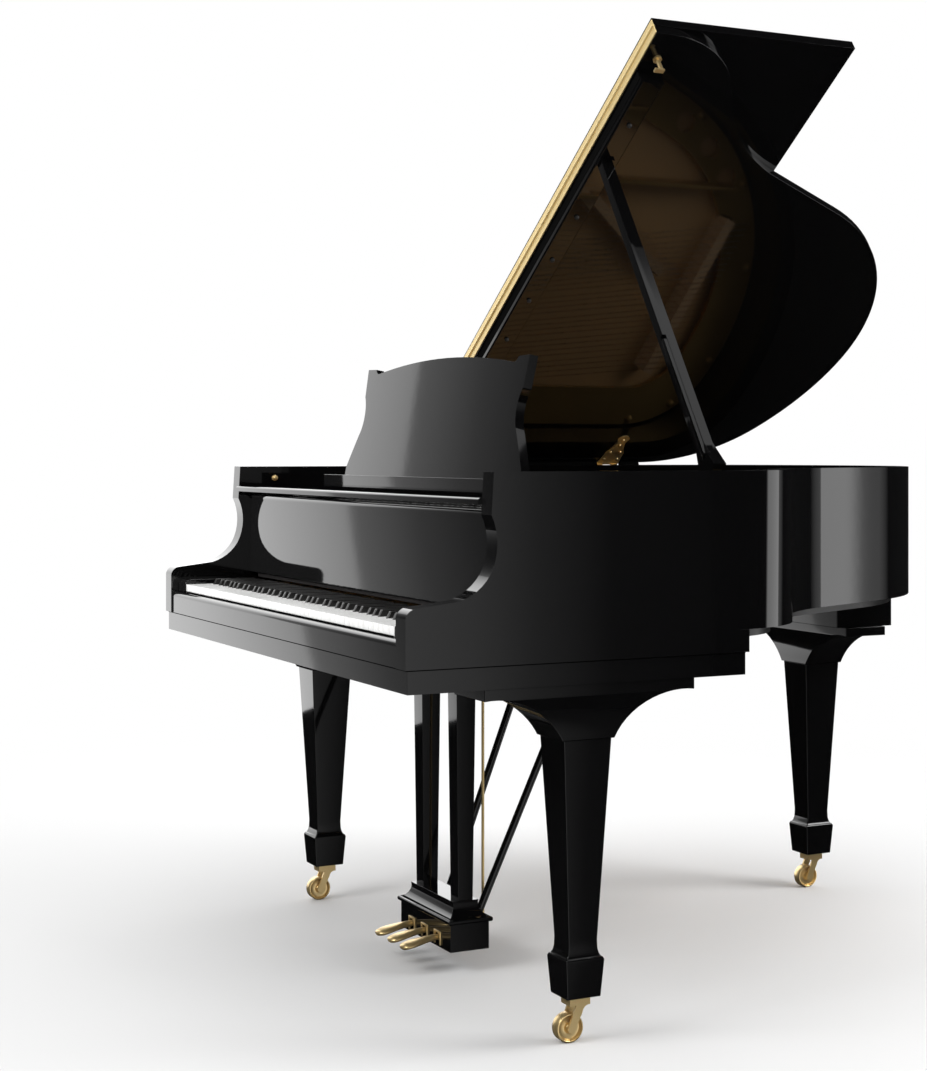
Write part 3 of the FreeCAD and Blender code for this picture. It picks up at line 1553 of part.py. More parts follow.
def make_pedal(place):
    """A lever on the box's rod, with a long foot that curves down to a round tip."""
    neck, tip = pedal_neck_y, pedal_tip_y
    shade = (neck + tip) / 2
    blade_low = pedal_top - pedal_blade
    tip_z = blade_low - pedal_tip_drop
    steps = [(pedal_rear, pedal_bottom), (pedal_rear, pedal_top), (neck, pedal_top),
             ((shade, pedal_top + pedal_tip_drop / 4), (pedal_ball_y, pedal_top - pedal_tip_drop / 2)),
             ((tip + pedal_blade / 4, tip_z + pedal_blade), (tip, tip_z + pedal_blade / 3)),
             ((pedal_ball_y - pedal_blade / 2, tip_z), (pedal_ball_y, tip_z)),
             ((shade, blade_low - pedal_tip_drop / 4), (neck, pedal_bottom))]
    side = prism_x((neck, pedal_bottom), steps[:-1] + [((shade, blade_low - pedal_tip_drop / 4),
                   (neck, pedal_bottom))], place - pedal_tip_half, place + pedal_tip_half)
    plan = [(place + pedal_neck_half, neck),
            ((place + pedal_neck_half + pedal_tip_drop / 4, shade), (place + pedal_tip_half, pedal_ball_y)),
            ((place, tip), (place - pedal_tip_half, pedal_ball_y)),
            ((place - pedal_neck_half - pedal_tip_drop / 4, shade), (place - pedal_neck_half, neck)),
            (place - pedal_lever_half, pedal_box_front + pedal_box_wall),
            (place - pedal_lever_half, pedal_rear), (place + pedal_lever_half, pedal_rear)]
    start = (place + pedal_lever_half, pedal_box_front + pedal_box_wall)
    flat = prism_z(start, plan, tip_z - overrun, pedal_top + overrun)
    pedal = side.common(flat)
    return pedal.cut(rod_x(pedal_pin_radius + pin_gap, place - overrun, place + overrun, pedal_pivot_y,
                           pedal_pivot_z))


def make_pedal_rod(place, top):
    return rod_z(rod_radius, place, rod_y, pedal_top + slide_gap, top)


def make_lyre_braces(pedal_box):
    level = box(-half_width, half_width, 0, case_length, lip_top, key_bed_bottom)
    braces = []
    for side in (-1, 1):
        foot = V(side * brace_foot[0], brace_foot[1], lip_top)
        head = V(side * brace_head[0], brace_head[1], key_bed_bottom)
        way = head - foot
        way.normalize()
        length = (head - foot).Length
        brace = Part.makeCylinder(brace_radius, length + overrun, foot - way * (overrun / 2), way)
        braces.append(brace.common(level).cut(pedal_box))
    return group(braces)


# Everything is made, moved so that the origin lies under the middle of its box, and written out

def make_all():
    natural_notes, sharp_notes = key_notes()
    pedal_box = make_pedal_box()
    pieces = {
        "rim": make_rim(),
        "inner_rim": make_inner_rim(),
        "key_bed": make_key_bed(),
        "key_slip": make_key_slip(),
        "key_blocks": make_key_blocks(),
        "back_frame": make_back_frame(),
        "pin_block": make_pin_block(),
        "stretcher_rail": make_stretcher(),
        "soundboard": make_soundboard(),
        "soundboard_ribs": make_ribs(),
        "bridges": make_bridges(),
        "iron_frame": make_iron_frame(),
        "strings": make_strings(),
        "tuning_pins": make_tuning_pins(),
        "leg_brackets": make_leg_brackets(),
        "rear_leg_block": make_rear_leg_block(),
        "front_left_leg": make_leg(leg_places[0]),
        "front_right_leg": make_leg(leg_places[1]),
        "rear_leg": make_leg(leg_places[2]),
        "caster_sockets": make_caster_sockets(),
        "lyre_frame": make_lyre_frame(),
        "pedal_box": pedal_box,
        "pedal_escutcheons": make_escutcheons(),
        "lyre_braces": make_lyre_braces(pedal_box),
        "desk_rails": make_desk_rails(),
        "lid_hinge_bases": make_lid_hinge_bases(),
        "prop_hinge": make_prop_hinge(),
        "lid": make_lid(),
        "lid_batten": make_lid_batten(),
        "lid_hinge_leaves": make_lid_hinge_leaves(),
        "lid_hook": make_lid_hook(),
        "flap_hinge_lid_leaf": flap_hinge(0),
        "lid_flap": make_lid_flap(),
        "flap_hinge_flap_leaf": flap_hinge(1),
        "lid_prop": make_lid_prop(),
        "half_stick": make_half_stick(),
        "fallboard": make_fallboard(),
        "desk_tray": make_desk_tray(),
        "music_desk": make_music_desk(),
        "desk_strut": make_desk_strut(),
        "key_frame": make_key_frame(),
        "action_stack": make_action_stack(),
        "natural_keys": make_natural_keys(),
        "sharp_keys": make_sharp_keys(),
        "natural_hammers": make_hammers(natural_notes),
        "sharp_hammers": make_hammers(sharp_notes),
        "dampers": make_dampers(),
        "sostenuto_rod": make_sostenuto_rod(),
        "left_pedal": make_pedal(pedal_places[0]),
        "middle_pedal": make_pedal(pedal_places[1]),
        "right_pedal": make_pedal(pedal_places[2]),
        "left_pedal_rod": make_pedal_rod(pedal_places[0], key_bed_top - shift_rod_top),
        "middle_pedal_rod": make_pedal_rod(pedal_places[1],
                                           sostenuto_z - sostenuto_tab_height / 2 - slide_gap),
        "right_pedal_rod": make_pedal_rod(pedal_places[2], damper_tray_bottom - slide_gap),
    }
    for name, place in zip(("front_left", "front_right", "rear"), leg_places):
        pieces[name + "_caster_fork"] = make_caster_fork(place)
        pieces[name + "_caster_wheel"] = make_caster_wheel(place)
    return pieces


pieces = make_all()
whole = Part.makeCompound(list(pieces.values())).BoundBox
move = V(-(whole.XMin + whole.XMax) / 2, -(whole.YMin + whole.YMax) / 2, -whole.ZMin)
os.makedirs("parts", exist_ok=True)
for name, shape in pieces.items():
    shape.translate(move)
    shape.exportStep("parts/" + name + ".step")
print(len(pieces), "nodes, moved by", move)
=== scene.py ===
# %% [markdown]
# # A grand piano
# The solids of the piano arrive as a fixed frame: sixty nodes on the bodies that move. This lesson
# gives them their looks. Lacquered wood gets eased edges, the small fittings get their real forms,
# and each finish is a procedural material. Loading comes first, because every later step asks the
# frame where things are.

# %% Load the frame
from math import pi, radians

import bmesh
import bpy
from mathutils import Matrix, Vector


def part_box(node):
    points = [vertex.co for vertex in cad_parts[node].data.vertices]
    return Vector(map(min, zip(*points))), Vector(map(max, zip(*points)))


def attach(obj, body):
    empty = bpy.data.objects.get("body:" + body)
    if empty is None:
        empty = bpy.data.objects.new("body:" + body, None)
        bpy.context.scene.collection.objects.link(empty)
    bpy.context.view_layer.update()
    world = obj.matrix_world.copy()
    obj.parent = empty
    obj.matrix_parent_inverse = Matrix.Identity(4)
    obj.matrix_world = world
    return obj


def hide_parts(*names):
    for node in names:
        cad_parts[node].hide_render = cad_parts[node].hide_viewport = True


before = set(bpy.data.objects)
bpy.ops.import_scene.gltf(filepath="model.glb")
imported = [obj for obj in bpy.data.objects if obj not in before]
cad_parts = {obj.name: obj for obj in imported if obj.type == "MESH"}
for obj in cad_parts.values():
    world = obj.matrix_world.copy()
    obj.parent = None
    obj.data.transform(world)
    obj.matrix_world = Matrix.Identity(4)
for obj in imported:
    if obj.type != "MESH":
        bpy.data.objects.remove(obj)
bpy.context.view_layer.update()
# Many places are measured from here: the middle of the keys, at the very front of the case.
row_x, row_y = 0.01715371, -0.8055
scene = bpy.context.scene
scene.view_settings.view_transform = "Standard"

# %% [markdown]
# ## The camera
# The picture was taken level, with upright edges that stay upright, so the lens is shifted rather
# than tilted. One could tilt a camera until it looks right, but the edges would then lean. Here the
# camera stays level and its place, turn, focal length and shift come from measured points.

# %% Camera
# Sizes and places in the picture are in pixels, and the turn is in degrees.
picture_width, picture_height = 927, 1071
focal_pixels, sensor_mm = 1988.31, 36.0
middle_u, middle_v = 600.0, 451.75
camera_place, camera_turn = (3.76479, -2.06739, 1.03855), 61.87
camera_data = bpy.data.cameras.new("camera")
camera_data.sensor_width = sensor_mm
camera_data.lens = focal_pixels * sensor_mm / picture_height
camera_data.shift_x = (picture_width / 2 - middle_u) / picture_height
camera_data.shift_y = (middle_v - picture_height / 2) / picture_height
camera = bpy.data.objects.new("camera", camera_data)
camera.location = camera_place
camera.rotation_euler = (radians(90), 0, radians(camera_turn))
scene.collection.objects.link(camera)
scene.camera = camera
print("lens of", round(camera_data.lens, 1), "mm")

# %% [markdown]
# ## A material as an expression
# Procedural finishes are sums of textures. Adding each node by hand hides the idea, so one small
# class wraps a socket and lets Python's operators add the Math nodes.

# %% Sockets
class Socket:
    """A shader socket that can stand in a sum."""

    def __init__(self, finish, socket):
        self.finish = finish
        self.socket = socket

    def math(self, operation, first, second):
        return self.finish.node("ShaderNodeMath", {"operation": operation}, {0: first, 1: second})

    def __add__(self, other):
        return self.math("ADD", self, other)

    def __sub__(self, other):
        return self.math("SUBTRACT", self, other)

    def __rsub__(self, other):
        return self.math("SUBTRACT", other, self)

    def __mul__(self, other):
        return self.math("MULTIPLY", self, other)

    def __gt__(self, other):
        return self.math("GREATER_THAN", self, other)

    def __lt__(self, other):
        return self.math("LESS_THAN", self, other)

    __radd__ = __add__
    __rmul__ = __mul__


print("sockets can stand in sums")

# %% [markdown]
# ## A finish
# A second class holds one material. A single method adds any node, sets what it is given and links
# what comes from a socket, and the short methods below it name the few textures that are used often.

# %% Finishes
class Finish:
    """One material, built round its own shader."""

    def __init__(self, name):
        self.material = bpy.data.materials.new(name)
        self.material.use_nodes = True
        self.tree = self.material.node_tree
        self.shader = self.tree.nodes["Principled BSDF"]
        self.place = self.node("ShaderNodeTexCoord", output="Object")

    def put(self, socket, value):
        if isinstance(value, Socket):
            self.tree.links.new(value.socket, socket)
        else:
            socket.default_value = value

    def node(self, kind, settings=(), inputs=(), output=0):
        made = self.tree.nodes.new(kind)
        for name, value in dict(settings).items():
            if name == "stops":
                while len(made.color_ramp.elements) < len(value):
                    made.color_ramp.elements.new(1.0)
                for element, (position, colour) in zip(made.color_ramp.elements, value):
                    element.position = position
                    element.color = (*colour, 1)
            else:
                setattr(made, name, value)
        for name, value in dict(inputs).items():
            self.put(made.inputs[name], value)
        return Socket(self, made.outputs[output])

    def surface(self, values):
        for name, value in values.items():
            self.put(self.shader.inputs[name], value)

    def noise(self, scale, detail=3.0, stretch=(1, 1, 1), turn=0.0):
        place = self.node("ShaderNodeMapping", {}, {"Vector": self.place, "Scale": stretch,
                                                    "Rotation": (0, 0, turn)})
        return self.node("ShaderNodeTexNoise", {}, {"Vector": place, "Scale": scale, "Detail": detail})

    def mix(self, mask, first, second):
        first = first if isinstance(first, Socket) else (*first, 1)
        second = second if isinstance(second, Socket) else (*second, 1)
        return self.node("ShaderNodeMix", {"data_type": "RGBA"}, {0: mask, 6: first, 7: second}, 2)

    def ramp(self, mask, stops):
        return self.node("ShaderNodeValToRGB", {"stops": stops}, {0: mask})

    def axis(self, which):
        return self.node("ShaderNodeSeparateXYZ", {}, {0: self.place}, which)

    def bump(self, height, strength, distance):
        return self.node("ShaderNodeBump", {}, {"Height": height, "Strength": strength,
                                                "Distance": distance})


print("finishes are ready to be written")

# %% [markdown]
# ## The studio floor
# The piano stands in a white studio. The floor is a pale disc that takes the shadow near the legs, and
# it fades to plain white further out so that no edge shows. Its grey is painted lighter toward the
# tail as painted light and darker at the front as painted shade.
# Every later shape becomes a mesh in the same way, so a small function for that comes first.

# %% Floor
def mesh_of(name, shape):
    """Turns a finished bmesh into a mesh and frees it."""
    mesh = bpy.data.meshes.new(name)
    shape.to_mesh(mesh)
    shape.free()
    return mesh


floor_radius, shadow_middle = 9.0, (0.45, -0.45, 0.0)
fade_from, fade_to = 1.2, 3.9
tail_from, tail_to = -0.9, 0.6
# Greys of the floor: painted shade at the front, painted light toward the tail.
painted_shade_greys, painted_lit_grey = ((0.63,) * 3, (0.65,) * 3), (0.78,) * 3
shape = bmesh.new()
bmesh.ops.create_circle(shape, cap_ends=True, segments=96, radius=floor_radius)
floor_mesh = mesh_of("floor", shape)
floor = bpy.data.objects.new("floor", floor_mesh)
scene.collection.objects.link(floor)
floor.visible_glossy = False
paper = Finish("studio_floor")
from_middle = paper.node("ShaderNodeVectorMath", {"operation": "SUBTRACT"},
                         {0: paper.place, 1: shadow_middle}, "Vector")
far_off = paper.node("ShaderNodeVectorMath", {"operation": "LENGTH"}, {0: from_middle}, "Value")
fade = paper.node("ShaderNodeMapRange", {"interpolation_type": "SMOOTHSTEP"},
                  {"Value": far_off, "From Min": fade_from, "From Max": fade_to})
light_path = paper.node("ShaderNodeLightPath").socket.node.outputs
seen = Socket(paper, light_path["Is Camera Ray"]) + Socket(paper, light_path["Is Transmission Ray"])
# The floor's grey moves from the painted shade at the front to the painted light toward the tail.
painted_light_toward_tail = paper.node("ShaderNodeMapRange", {}, {"Value": paper.axis(1) - 0.3 * paper.axis(0),
                                                    "From Min": tail_from, "From Max": tail_to})
paper.surface({
    "Base Color": paper.mix(painted_light_toward_tail, paper.mix(paper.noise(1.5), *painted_shade_greys), painted_lit_grey),
    "Roughness": 0.9, "Specular IOR Level": 0.1})
glow = paper.node("ShaderNodeEmission", {}, {"Color": (1, 1, 1, 1), "Strength": 1.0}, "Emission")
blend = paper.node("ShaderNodeMixShader", {}, {
    0: fade * seen, 1: Socket(paper, paper.shader.outputs[0]), 2: glow})
paper.put(paper.tree.nodes["Material Output"].inputs["Surface"], blend)
floor_mesh.materials.append(paper.material)
print("floor of radius", floor_radius, "m")

# %% [markdown]
# ## The world
# The world is white wherever it is seen, and a little dimmer where it only gives light, so that the
# shadows keep some depth. The kind of ray decides between the two.

# %% World
world = bpy.data.worlds.new("studio")
scene.world = world
world.use_nodes = True
sky = world.node_tree
sky.nodes.clear()


def sky_node(kind, settings=(), inputs=()):
    made = sky.nodes.new(kind)
    for name, value in dict(settings).items():
        setattr(made, name, value)
    for name, value in dict(inputs).items():
        if isinstance(value, bpy.types.NodeSocket):
            sky.links.new(value, made.inputs[name])
        else:
            made.inputs[name].default_value = value
    return made


path = sky_node("ShaderNodeLightPath").outputs
plain = sky_node("ShaderNodeMath", {"operation": "MAXIMUM"},
                 {0: path["Is Camera Ray"], 1: path["Is Transmission Ray"]}).outputs[0]
shown = sky_node("ShaderNodeMath", {"operation": "MAXIMUM"},
                 {0: plain, 1: path["Is Glossy Ray"]}).outputs[0]
ambient = 0.9
strength = sky_node("ShaderNodeMix", {}, {0: shown, 2: ambient, 3: 1.0}).outputs[0]
back = sky_node("ShaderNodeBackground", {}, {"Color": (1, 1, 1, 1), "Strength": strength}).outputs[0]
sky_node("ShaderNodeOutputWorld", {}, {"Surface": back})
print("world gives", ambient, "of what it shows")

# %% [markdown]
# ## Lamps
# Three soft boxes light what isn't black: one overhead, one in front for the keys and the fallboard,
# and one behind that reaches in under the lid.

# %% Lamps
def lamp(name, place, target, size, power):
    data = bpy.data.lights.new(name, "AREA")
    data.shape = "RECTANGLE"
    data.size, data.size_y = size
    data.energy = power
    made = bpy.data.objects.new(name, data)
    made.location = place
    made.rotation_euler = (Vector(target) - Vector(place)).to_track_quat("-Z", "Y").to_euler()
    scene.collection.objects.link(made)


# Each lamp has its place, the point it looks at, its width and length, and its power.
lamps = {
    "overhead": ((0.2, -0.9, 4.6), (0.1, -0.3, 0.6), (4.6, 4.2), 70),
    "front_box": ((0.3, -3.8, 2.9), (0.0, -0.75, 0.75), (2.2, 1.2), 75),
    "inside_fill": ((1.7, 2.7, 3.1), (0.0, 0.2, 0.9), (1.8, 1.6), 85)}
for name, settings in lamps.items():
    lamp(name, *settings)
print(len(lamps), "lamps")

# %% [markdown]
# ## Boards for reflections
# Black lacquer shows almost only what it mirrors, so the boards around it matter more than the
# lamps. They stand outside the picture and show in reflections only; the floor doesn't show there. A
# box between two corners is the shape of every board, and a ramp shades it along one axis.

# %% Mirrored boards
def add_box(shape, low, high):
    """Adds a box between two corners."""
    low, high = Vector(low), Vector(high)
    size = Matrix.Diagonal((*(high - low), 1.0))
    bmesh.ops.create_cube(shape, size=1.0, matrix=Matrix.Translation((low + high) / 2) @ size)


def long_board(low, high):
    shape = bmesh.new()
    add_box(shape, low, high)
    return shape


def mirrored_only(name, shape, finish):
    mesh = mesh_of(name, shape)
    mesh.materials.append(finish.material)
    made = bpy.data.objects.new(name, mesh)
    scene.collection.objects.link(made)
    for ray in ("camera", "diffuse", "shadow", "transmission"):
        setattr(made, "visible_" + ray, False)


lean_level = 0.79


def bright_wall(name, low, high, brightness, shares, across=1, lean=0.0, high_lean=0.0):
    """A board between two corners that glows, more in some places than in others.

    Each pair in shares is a place along one axis and the share of the brightness there. The pattern
    leans as it rises, by one slope below the lean level and by another above it.
    """
    start, end = low[across], high[across]
    glow = Finish(name)
    rise = glow.axis(2) - lean_level
    above = glow.node("ShaderNodeMath", {"operation": "MAXIMUM"}, {0: rise, 1: 0.0})
    level = glow.axis(across) - (lean * rise + (high_lean - lean) * above)
    along = glow.node("ShaderNodeMapRange", {}, {"Value": level, "From Min": start, "From Max": end})
    grey = glow.ramp(along, [((place - start) / (end - start), (share,) * 3) for place, share in shares])
    glow.surface({"Base Color": (0, 0, 0, 1), "Roughness": 1.0, "Specular IOR Level": 0.0,
                  "Emission Color": grey, "Emission Strength": brightness})
    mirrored_only(name, long_board(low, high), glow)


print("boards can be shaded")

# %% [markdown]
# ## Tent and walls
# Black cloth all round keeps the case deep. A bright wall at the left that ends in a clear edge
# shades the music desk and the fallboard, a wall at the right and a strip behind the tail draw the
# bands on the curved side, and a panel overhead lightens the edges that lean back.

# %% Tent and walls
tent_radius, tent_low, tent_high, cloth_thick = 6.5, -3.0, 7.4, 0.01
black_cloth = Finish("black_cloth")
black_cloth.surface({"Base Color": (0.01, 0.01, 0.01, 1), "Roughness": 1.0, "Specular IOR Level": 0.0})
tent = bmesh.new()
bmesh.ops.create_cone(tent, cap_ends=False, segments=64, radius1=tent_radius, radius2=tent_radius,
                      depth=tent_high - tent_low,
                      matrix=Matrix.Translation((0, 0, (tent_low + tent_high) / 2)))
mirrored_only("tent", tent, black_cloth)
bright_wall("left_wall", (-4.64, -3.6, -0.25), (-4.63, 2.0, 4.6), 2.5, (
    (-3.6, 0.0), (-3.2, 0.02), (-3.0, 0.045), (-2.75, 0.09), (-2.42, 0.22), (-2.40, 0.52),
    (-1.97, 0.82), (-1.5, 1.0)), lean=0.236, high_lean=0.195)
bright_wall("right_wall", (5.0, -3.0, -3.0), (5.01, 2.4, 3.2), 0.9, (
    (-3.0, 1.0), (0.9, 1.0), (1.27, 0.68), (1.55, 0.3), (1.9, 0.05), (2.4, 0.02)))
bright_wall("tail_strip", (-0.2, 5.0, -3.0), (2.7, 5.01, 3.2), 2.0, (
    (-0.2, 0.0), (0.60, 0.24), (0.64, 0.32), (0.70, 1.0), (2.4, 1.0), (2.5, 0.5), (2.7, 0.0)), across=0)
for part, level in (("floor", tent_low), ("roof", tent_high)):
    cloth = long_board((-tent_radius, -tent_radius, level - cloth_thick),
                       (tent_radius, tent_radius, level))
    mirrored_only("tent_" + part, cloth, black_cloth)
bright_wall("roof_panel", (1.6, 1.8, 7.30), (4.0, 4.2, 7.31), 0.92, (
    (1.6, 0.15), (1.86, 0.25), (2.08, 1.0), (4.0, 1.0)), across=0)
print("tent, two walls, a strip and a panel overhead")

# %% [markdown]
# ## Black lacquer
# The case is sprayed with many coats of black polyester and polished. It is nearly mirror smooth,
# but close up there is a faint waviness left by the spray, and polishing leaves slightly duller
# clouds. A flat black would look like plastic, so the roughness drifts and a very weak bump waves
# the reflections.

# %% Lacquer finish
lacquer = Finish("black_lacquer")
clouds = lacquer.noise(2.2, 4.0)
lacquer.surface({
    "Base Color": lacquer.mix(clouds, (0.0014, 0.0014, 0.0016), (0.0030, 0.0029, 0.0030)),
    "Roughness": 0.022 + 0.035 * clouds,
    "Normal": lacquer.bump(lacquer.noise(38.0, 1.0), 0.012, 0.001)})
print("lacquer written")

# %% [markdown]
# ## Brass
# Hinges, pedals, casters and the prop's fittings are polished brass under a thin clear coat. Hands
# and years leave it a little duller in patches, and fine polishing lines run along it. The colour
# moves between a pale and a deeper gold with a cloudy noise. The long hinge of the flap is less of a
# mirror, so its two leaves get a satin finish of their own, whose gold is painted paler than the
# other brass as painted light, so that the hinge reads brighter.

# %% Brass finish
brass = Finish("polished_brass")
patches = brass.noise(22.0, 4.0)
lines = brass.noise(260.0, 2.0, (1, 0.12, 1))
brass.surface({
    "Base Color": brass.mix(patches, (0.76, 0.55, 0.25), (0.87, 0.67, 0.34)),
    "Metallic": 0.86, "Roughness": 0.27 + 0.09 * patches + 0.04 * lines,
    "Normal": brass.bump(lines, 0.02, 0.0003)})
# Painted light: this gold is paler than the other brass so that the flap's hinge reads brighter.
lit_satin_brass = Finish("lit_satin_brass")
patches = lit_satin_brass.noise(22.0, 4.0)
lit_satin_brass.surface({
    "Base Color": lit_satin_brass.mix(patches, (0.90, 0.68, 0.30), (0.97, 0.76, 0.38)),
    "Metallic": 0.6, "Roughness": 0.34 + 0.09 * patches})
print("brass written")

# %% [markdown]
# ## Bronzed iron, steel and copper
# The cast iron frame is sanded, painted with bronze powder and lacquered, which leaves a fine grainy
# glitter. The strings are bright steel in the treble and wound with copper in the bass, and they
# share one node, so the finish changes over at the break between the two sections.

# %% Frame and string finishes
break_x = -0.2574 + row_x
bronze = Finish("bronzed_iron")
grain = bronze.noise(700.0, 2.0)
bronze.surface({
    "Base Color": bronze.mix(bronze.noise(9.0, 4.0), (0.42, 0.265, 0.085), (0.56, 0.37, 0.14)),
    "Metallic": 0.75, "Roughness": 0.36 + 0.2 * grain, "Normal": bronze.bump(grain, 0.18, 0.0006)})
wire = Finish("string_wire")
wound = wire.axis(0) < break_x
wire.surface({
    "Base Color": wire.mix(wound, (0.60, 0.60, 0.62), (0.55, 0.25, 0.13)),
    "Metallic": 1.0, "Roughness": 0.22 + 0.14 * wire.noise(300.0, 1.0)})
steel = Finish("blued_steel")
wear = steel.noise(90.0, 3.0)
steel.surface({
    "Base Color": steel.mix(wear, (0.36, 0.37, 0.39), (0.55, 0.56, 0.58)),
    "Metallic": 1.0, "Roughness": 0.25 + 0.2 * wear})
print("metals written")

# %% [markdown]
# ## Wood
# Spruce has straight, even grain with a darker line for each winter. Maple is paler and closer. Both
# come from a noise stretched along the board, and a finer one gives the pores a weak bump. The
# soundboard's grain runs along the bridges, across the ribs, so its pattern is turned. The inner rim
# is maple above and painted black below a level.

# %% Wood finishes
def wood(name, pale, dark, ring_scale, turn, roughness):
    made = Finish(name)
    place = made.node("ShaderNodeMapping", {}, {"Vector": made.place, "Rotation": (0, 0, turn)})
    across = made.node("ShaderNodeSeparateXYZ", {}, {0: place}, 1)
    drift = made.noise(4.0, 3.0, (0.3, 1.0, 1.0), turn)
    phase = made.node("ShaderNodeMath", {"operation": "FRACT"}, {0: across * ring_scale + drift * 5.0})
    rings = made.ramp(phase, [(0.0, pale), (0.72, pale), (0.93, dark), (1.0, pale)])
    flecks = made.noise(420.0, 2.0, (0.06, 1.0, 1.0), turn)
    made.surface({
        "Base Color": made.mix(flecks * 0.45, rings, dark),
        "Roughness": roughness + 0.12 * flecks, "Normal": made.bump(flecks, 0.12, 0.0004)})
    return made


spruce = wood("spruce", (0.66, 0.42, 0.19), (0.43, 0.23, 0.085), 300.0, radians(48), 0.30)
maple = wood("maple", (0.62, 0.42, 0.235), (0.47, 0.28, 0.13), 110.0, 0.0, 0.38)
paint_level = 0.735
under_black = Finish("inner_rim")
painted = under_black.axis(2) < paint_level
fleck = under_black.noise(300.0, 2.0, (1.0, 0.1, 1.0))
under_black.surface({
    "Base Color": under_black.mix(
        painted, under_black.mix(fleck, (0.62, 0.42, 0.235), (0.50, 0.31, 0.15)),
        under_black.mix(fleck, (0.004, 0.004, 0.004), (0.009, 0.009, 0.009))),
    "Roughness": 0.3 + 0.15 * fleck})
print("three woods written")

# %% [markdown]
# ## Keys
# Naturals are spruce levers with a white cover on top and in front; the same node holds both, so the
# finish changes a little below the top. Sharps are a dull black with fine streaks along them.

# %% Key finishes
key_top, cover_end = 0.742, -0.6105
cover_thick, cover_front = 0.0028, 0.0203 + row_y
ivory = Finish("natural_key")
height = ivory.axis(2)
front = ivory.axis(1)
cover = ivory.node("ShaderNodeMath", {"operation": "MAXIMUM"},
                   {0: height > key_top - cover_thick, 1: front < cover_front})
cover = cover * (front < cover_end)
tone = ivory.noise(14.0, 3.0)
stick = ivory.noise(160.0, 2.0, (1.0, 0.05, 1.0))
ivory.surface({
    "Base Color": ivory.mix(cover, ivory.mix(stick, (0.66, 0.47, 0.27), (0.50, 0.32, 0.16)),
                            ivory.mix(tone, (0.84, 0.838, 0.825), (0.87, 0.87, 0.86))),
    "Roughness": 0.16 + 0.08 * tone + 0.3 * (1 - cover)})
ebony = Finish("sharp_key")
streak = ebony.noise(220.0, 3.0, (1.0, 0.08, 1.0))
ebony.surface({
    "Base Color": ebony.mix(streak, (0.006, 0.006, 0.006), (0.016, 0.015, 0.014)),
    "Roughness": 0.27 + 0.15 * streak, "Normal": ebony.bump(streak, 0.08, 0.0004)})
print("keys written")

# %% [markdown]
# ## Felt and rubber
# Hammers are wood with a white felt head, and damper blocks are black with felt below, so each of
# these finishes changes at a level. A matte black felt, which mirrors nothing, lines the places where
# lacquered boards meet; it is painted shade and painted dark reflection where the lacquer should read
# dark. The bumpers under the lid are rubber.

# %% Felt and rubber finishes
def felted(name, level, under, felt, wooden):
    """Felt on one side of a level, wood on the other."""
    made = Finish(name)
    side = made.axis(2) < level if under else made.axis(2) > level
    fluff = made.noise(900.0, 3.0)
    made.surface({
        "Base Color": made.mix(side, made.mix(fluff, *wooden), made.mix(fluff, *felt)),
        "Roughness": 0.45 + 0.5 * side, "Normal": made.bump(fluff, 0.25, 0.0008)})
    return made


hammer_level, damper_level = 0.826, 0.9005
pale_felt = ((0.70, 0.68, 0.62), (0.80, 0.78, 0.73))
hammer_wood = ((0.60, 0.40, 0.21), (0.66, 0.46, 0.26))
damper_black = ((0.006, 0.006, 0.006), (0.014, 0.013, 0.012))
hammer_felt = felted("hammer", hammer_level, False, pale_felt, hammer_wood)
damper_felt = felted("damper", damper_level, True, pale_felt, damper_black)
rubber = Finish("rubber")
rubber_grain = rubber.noise(500.0, 2.0)
rubber.surface({
    "Base Color": rubber.mix(rubber_grain, (0.010, 0.010, 0.010), (0.022, 0.021, 0.020)),
    "Roughness": 0.5 + 0.2 * rubber_grain})
# Painted shade and painted dark reflection: a black that mirrors nothing, for places that should read
# dark.
painted_dark_felt = Finish("painted_dark_felt")
weave = painted_dark_felt.noise(900.0, 2.0)
painted_dark_felt.surface({
    "Base Color": painted_dark_felt.mix(weave, (0.0022, 0.0022, 0.0022), (0.0055, 0.0055, 0.0055)),
    "Roughness": 1.0, "Specular IOR Level": 0.0})
print("felt and rubber written")

# %% [markdown]
# ## Finishes on the solids
# Many solids already have the right shape, such as the iron frame, the strings and the action. They
# only change their material.

# %% Materials on the frame's own nodes
node_finish = {
    "inner_rim": under_black, "back_frame": maple, "pin_block": maple, "soundboard": spruce,
    "soundboard_ribs": spruce, "bridges": maple, "iron_frame": bronze, "strings": wire,
    "caster_sockets": brass, "lid_hinge_bases": brass, "prop_hinge": brass,
    "lid_hinge_leaves": brass, "lid_hook": brass, "flap_hinge_lid_leaf": lit_satin_brass,
    "key_frame": maple, "action_stack": maple, "natural_hammers": hammer_felt,
    "sharp_hammers": hammer_felt, "dampers": damper_felt, "sostenuto_rod": steel,
    "left_pedal_rod": brass, "middle_pedal_rod": brass, "right_pedal_rod": brass}
for name, finish in node_finish.items():
    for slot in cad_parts[name].material_slots:
        slot.material = finish.material
print(len(node_finish), "nodes keep their shape")

# %% [markdown]
# ## Pieces
# Everything made from here on is a piece: it rides on a body so that it moves with it, it may take
# the place of a node, and it has a slot for its material. Turned and cast pieces are shaded smooth
# up to an angle.

# %% Pieces
def add_piece(name, mesh, body, finish, nodes=()):
    made = bpy.data.objects.new(name, mesh)
    scene.collection.objects.link(made)
    mesh.materials.append(finish.material)
    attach(made, body)
    if nodes:
        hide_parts(*nodes)
    return made


def smooth_piece(name, shape, body, finish, nodes=(), sharp=35):
    mesh = mesh_of(name, shape)
    mesh.shade_smooth()
    mesh.set_sharp_from_angle(angle=radians(sharp))
    return add_piece(name, mesh, body, finish, nodes)


print("pieces can be added")

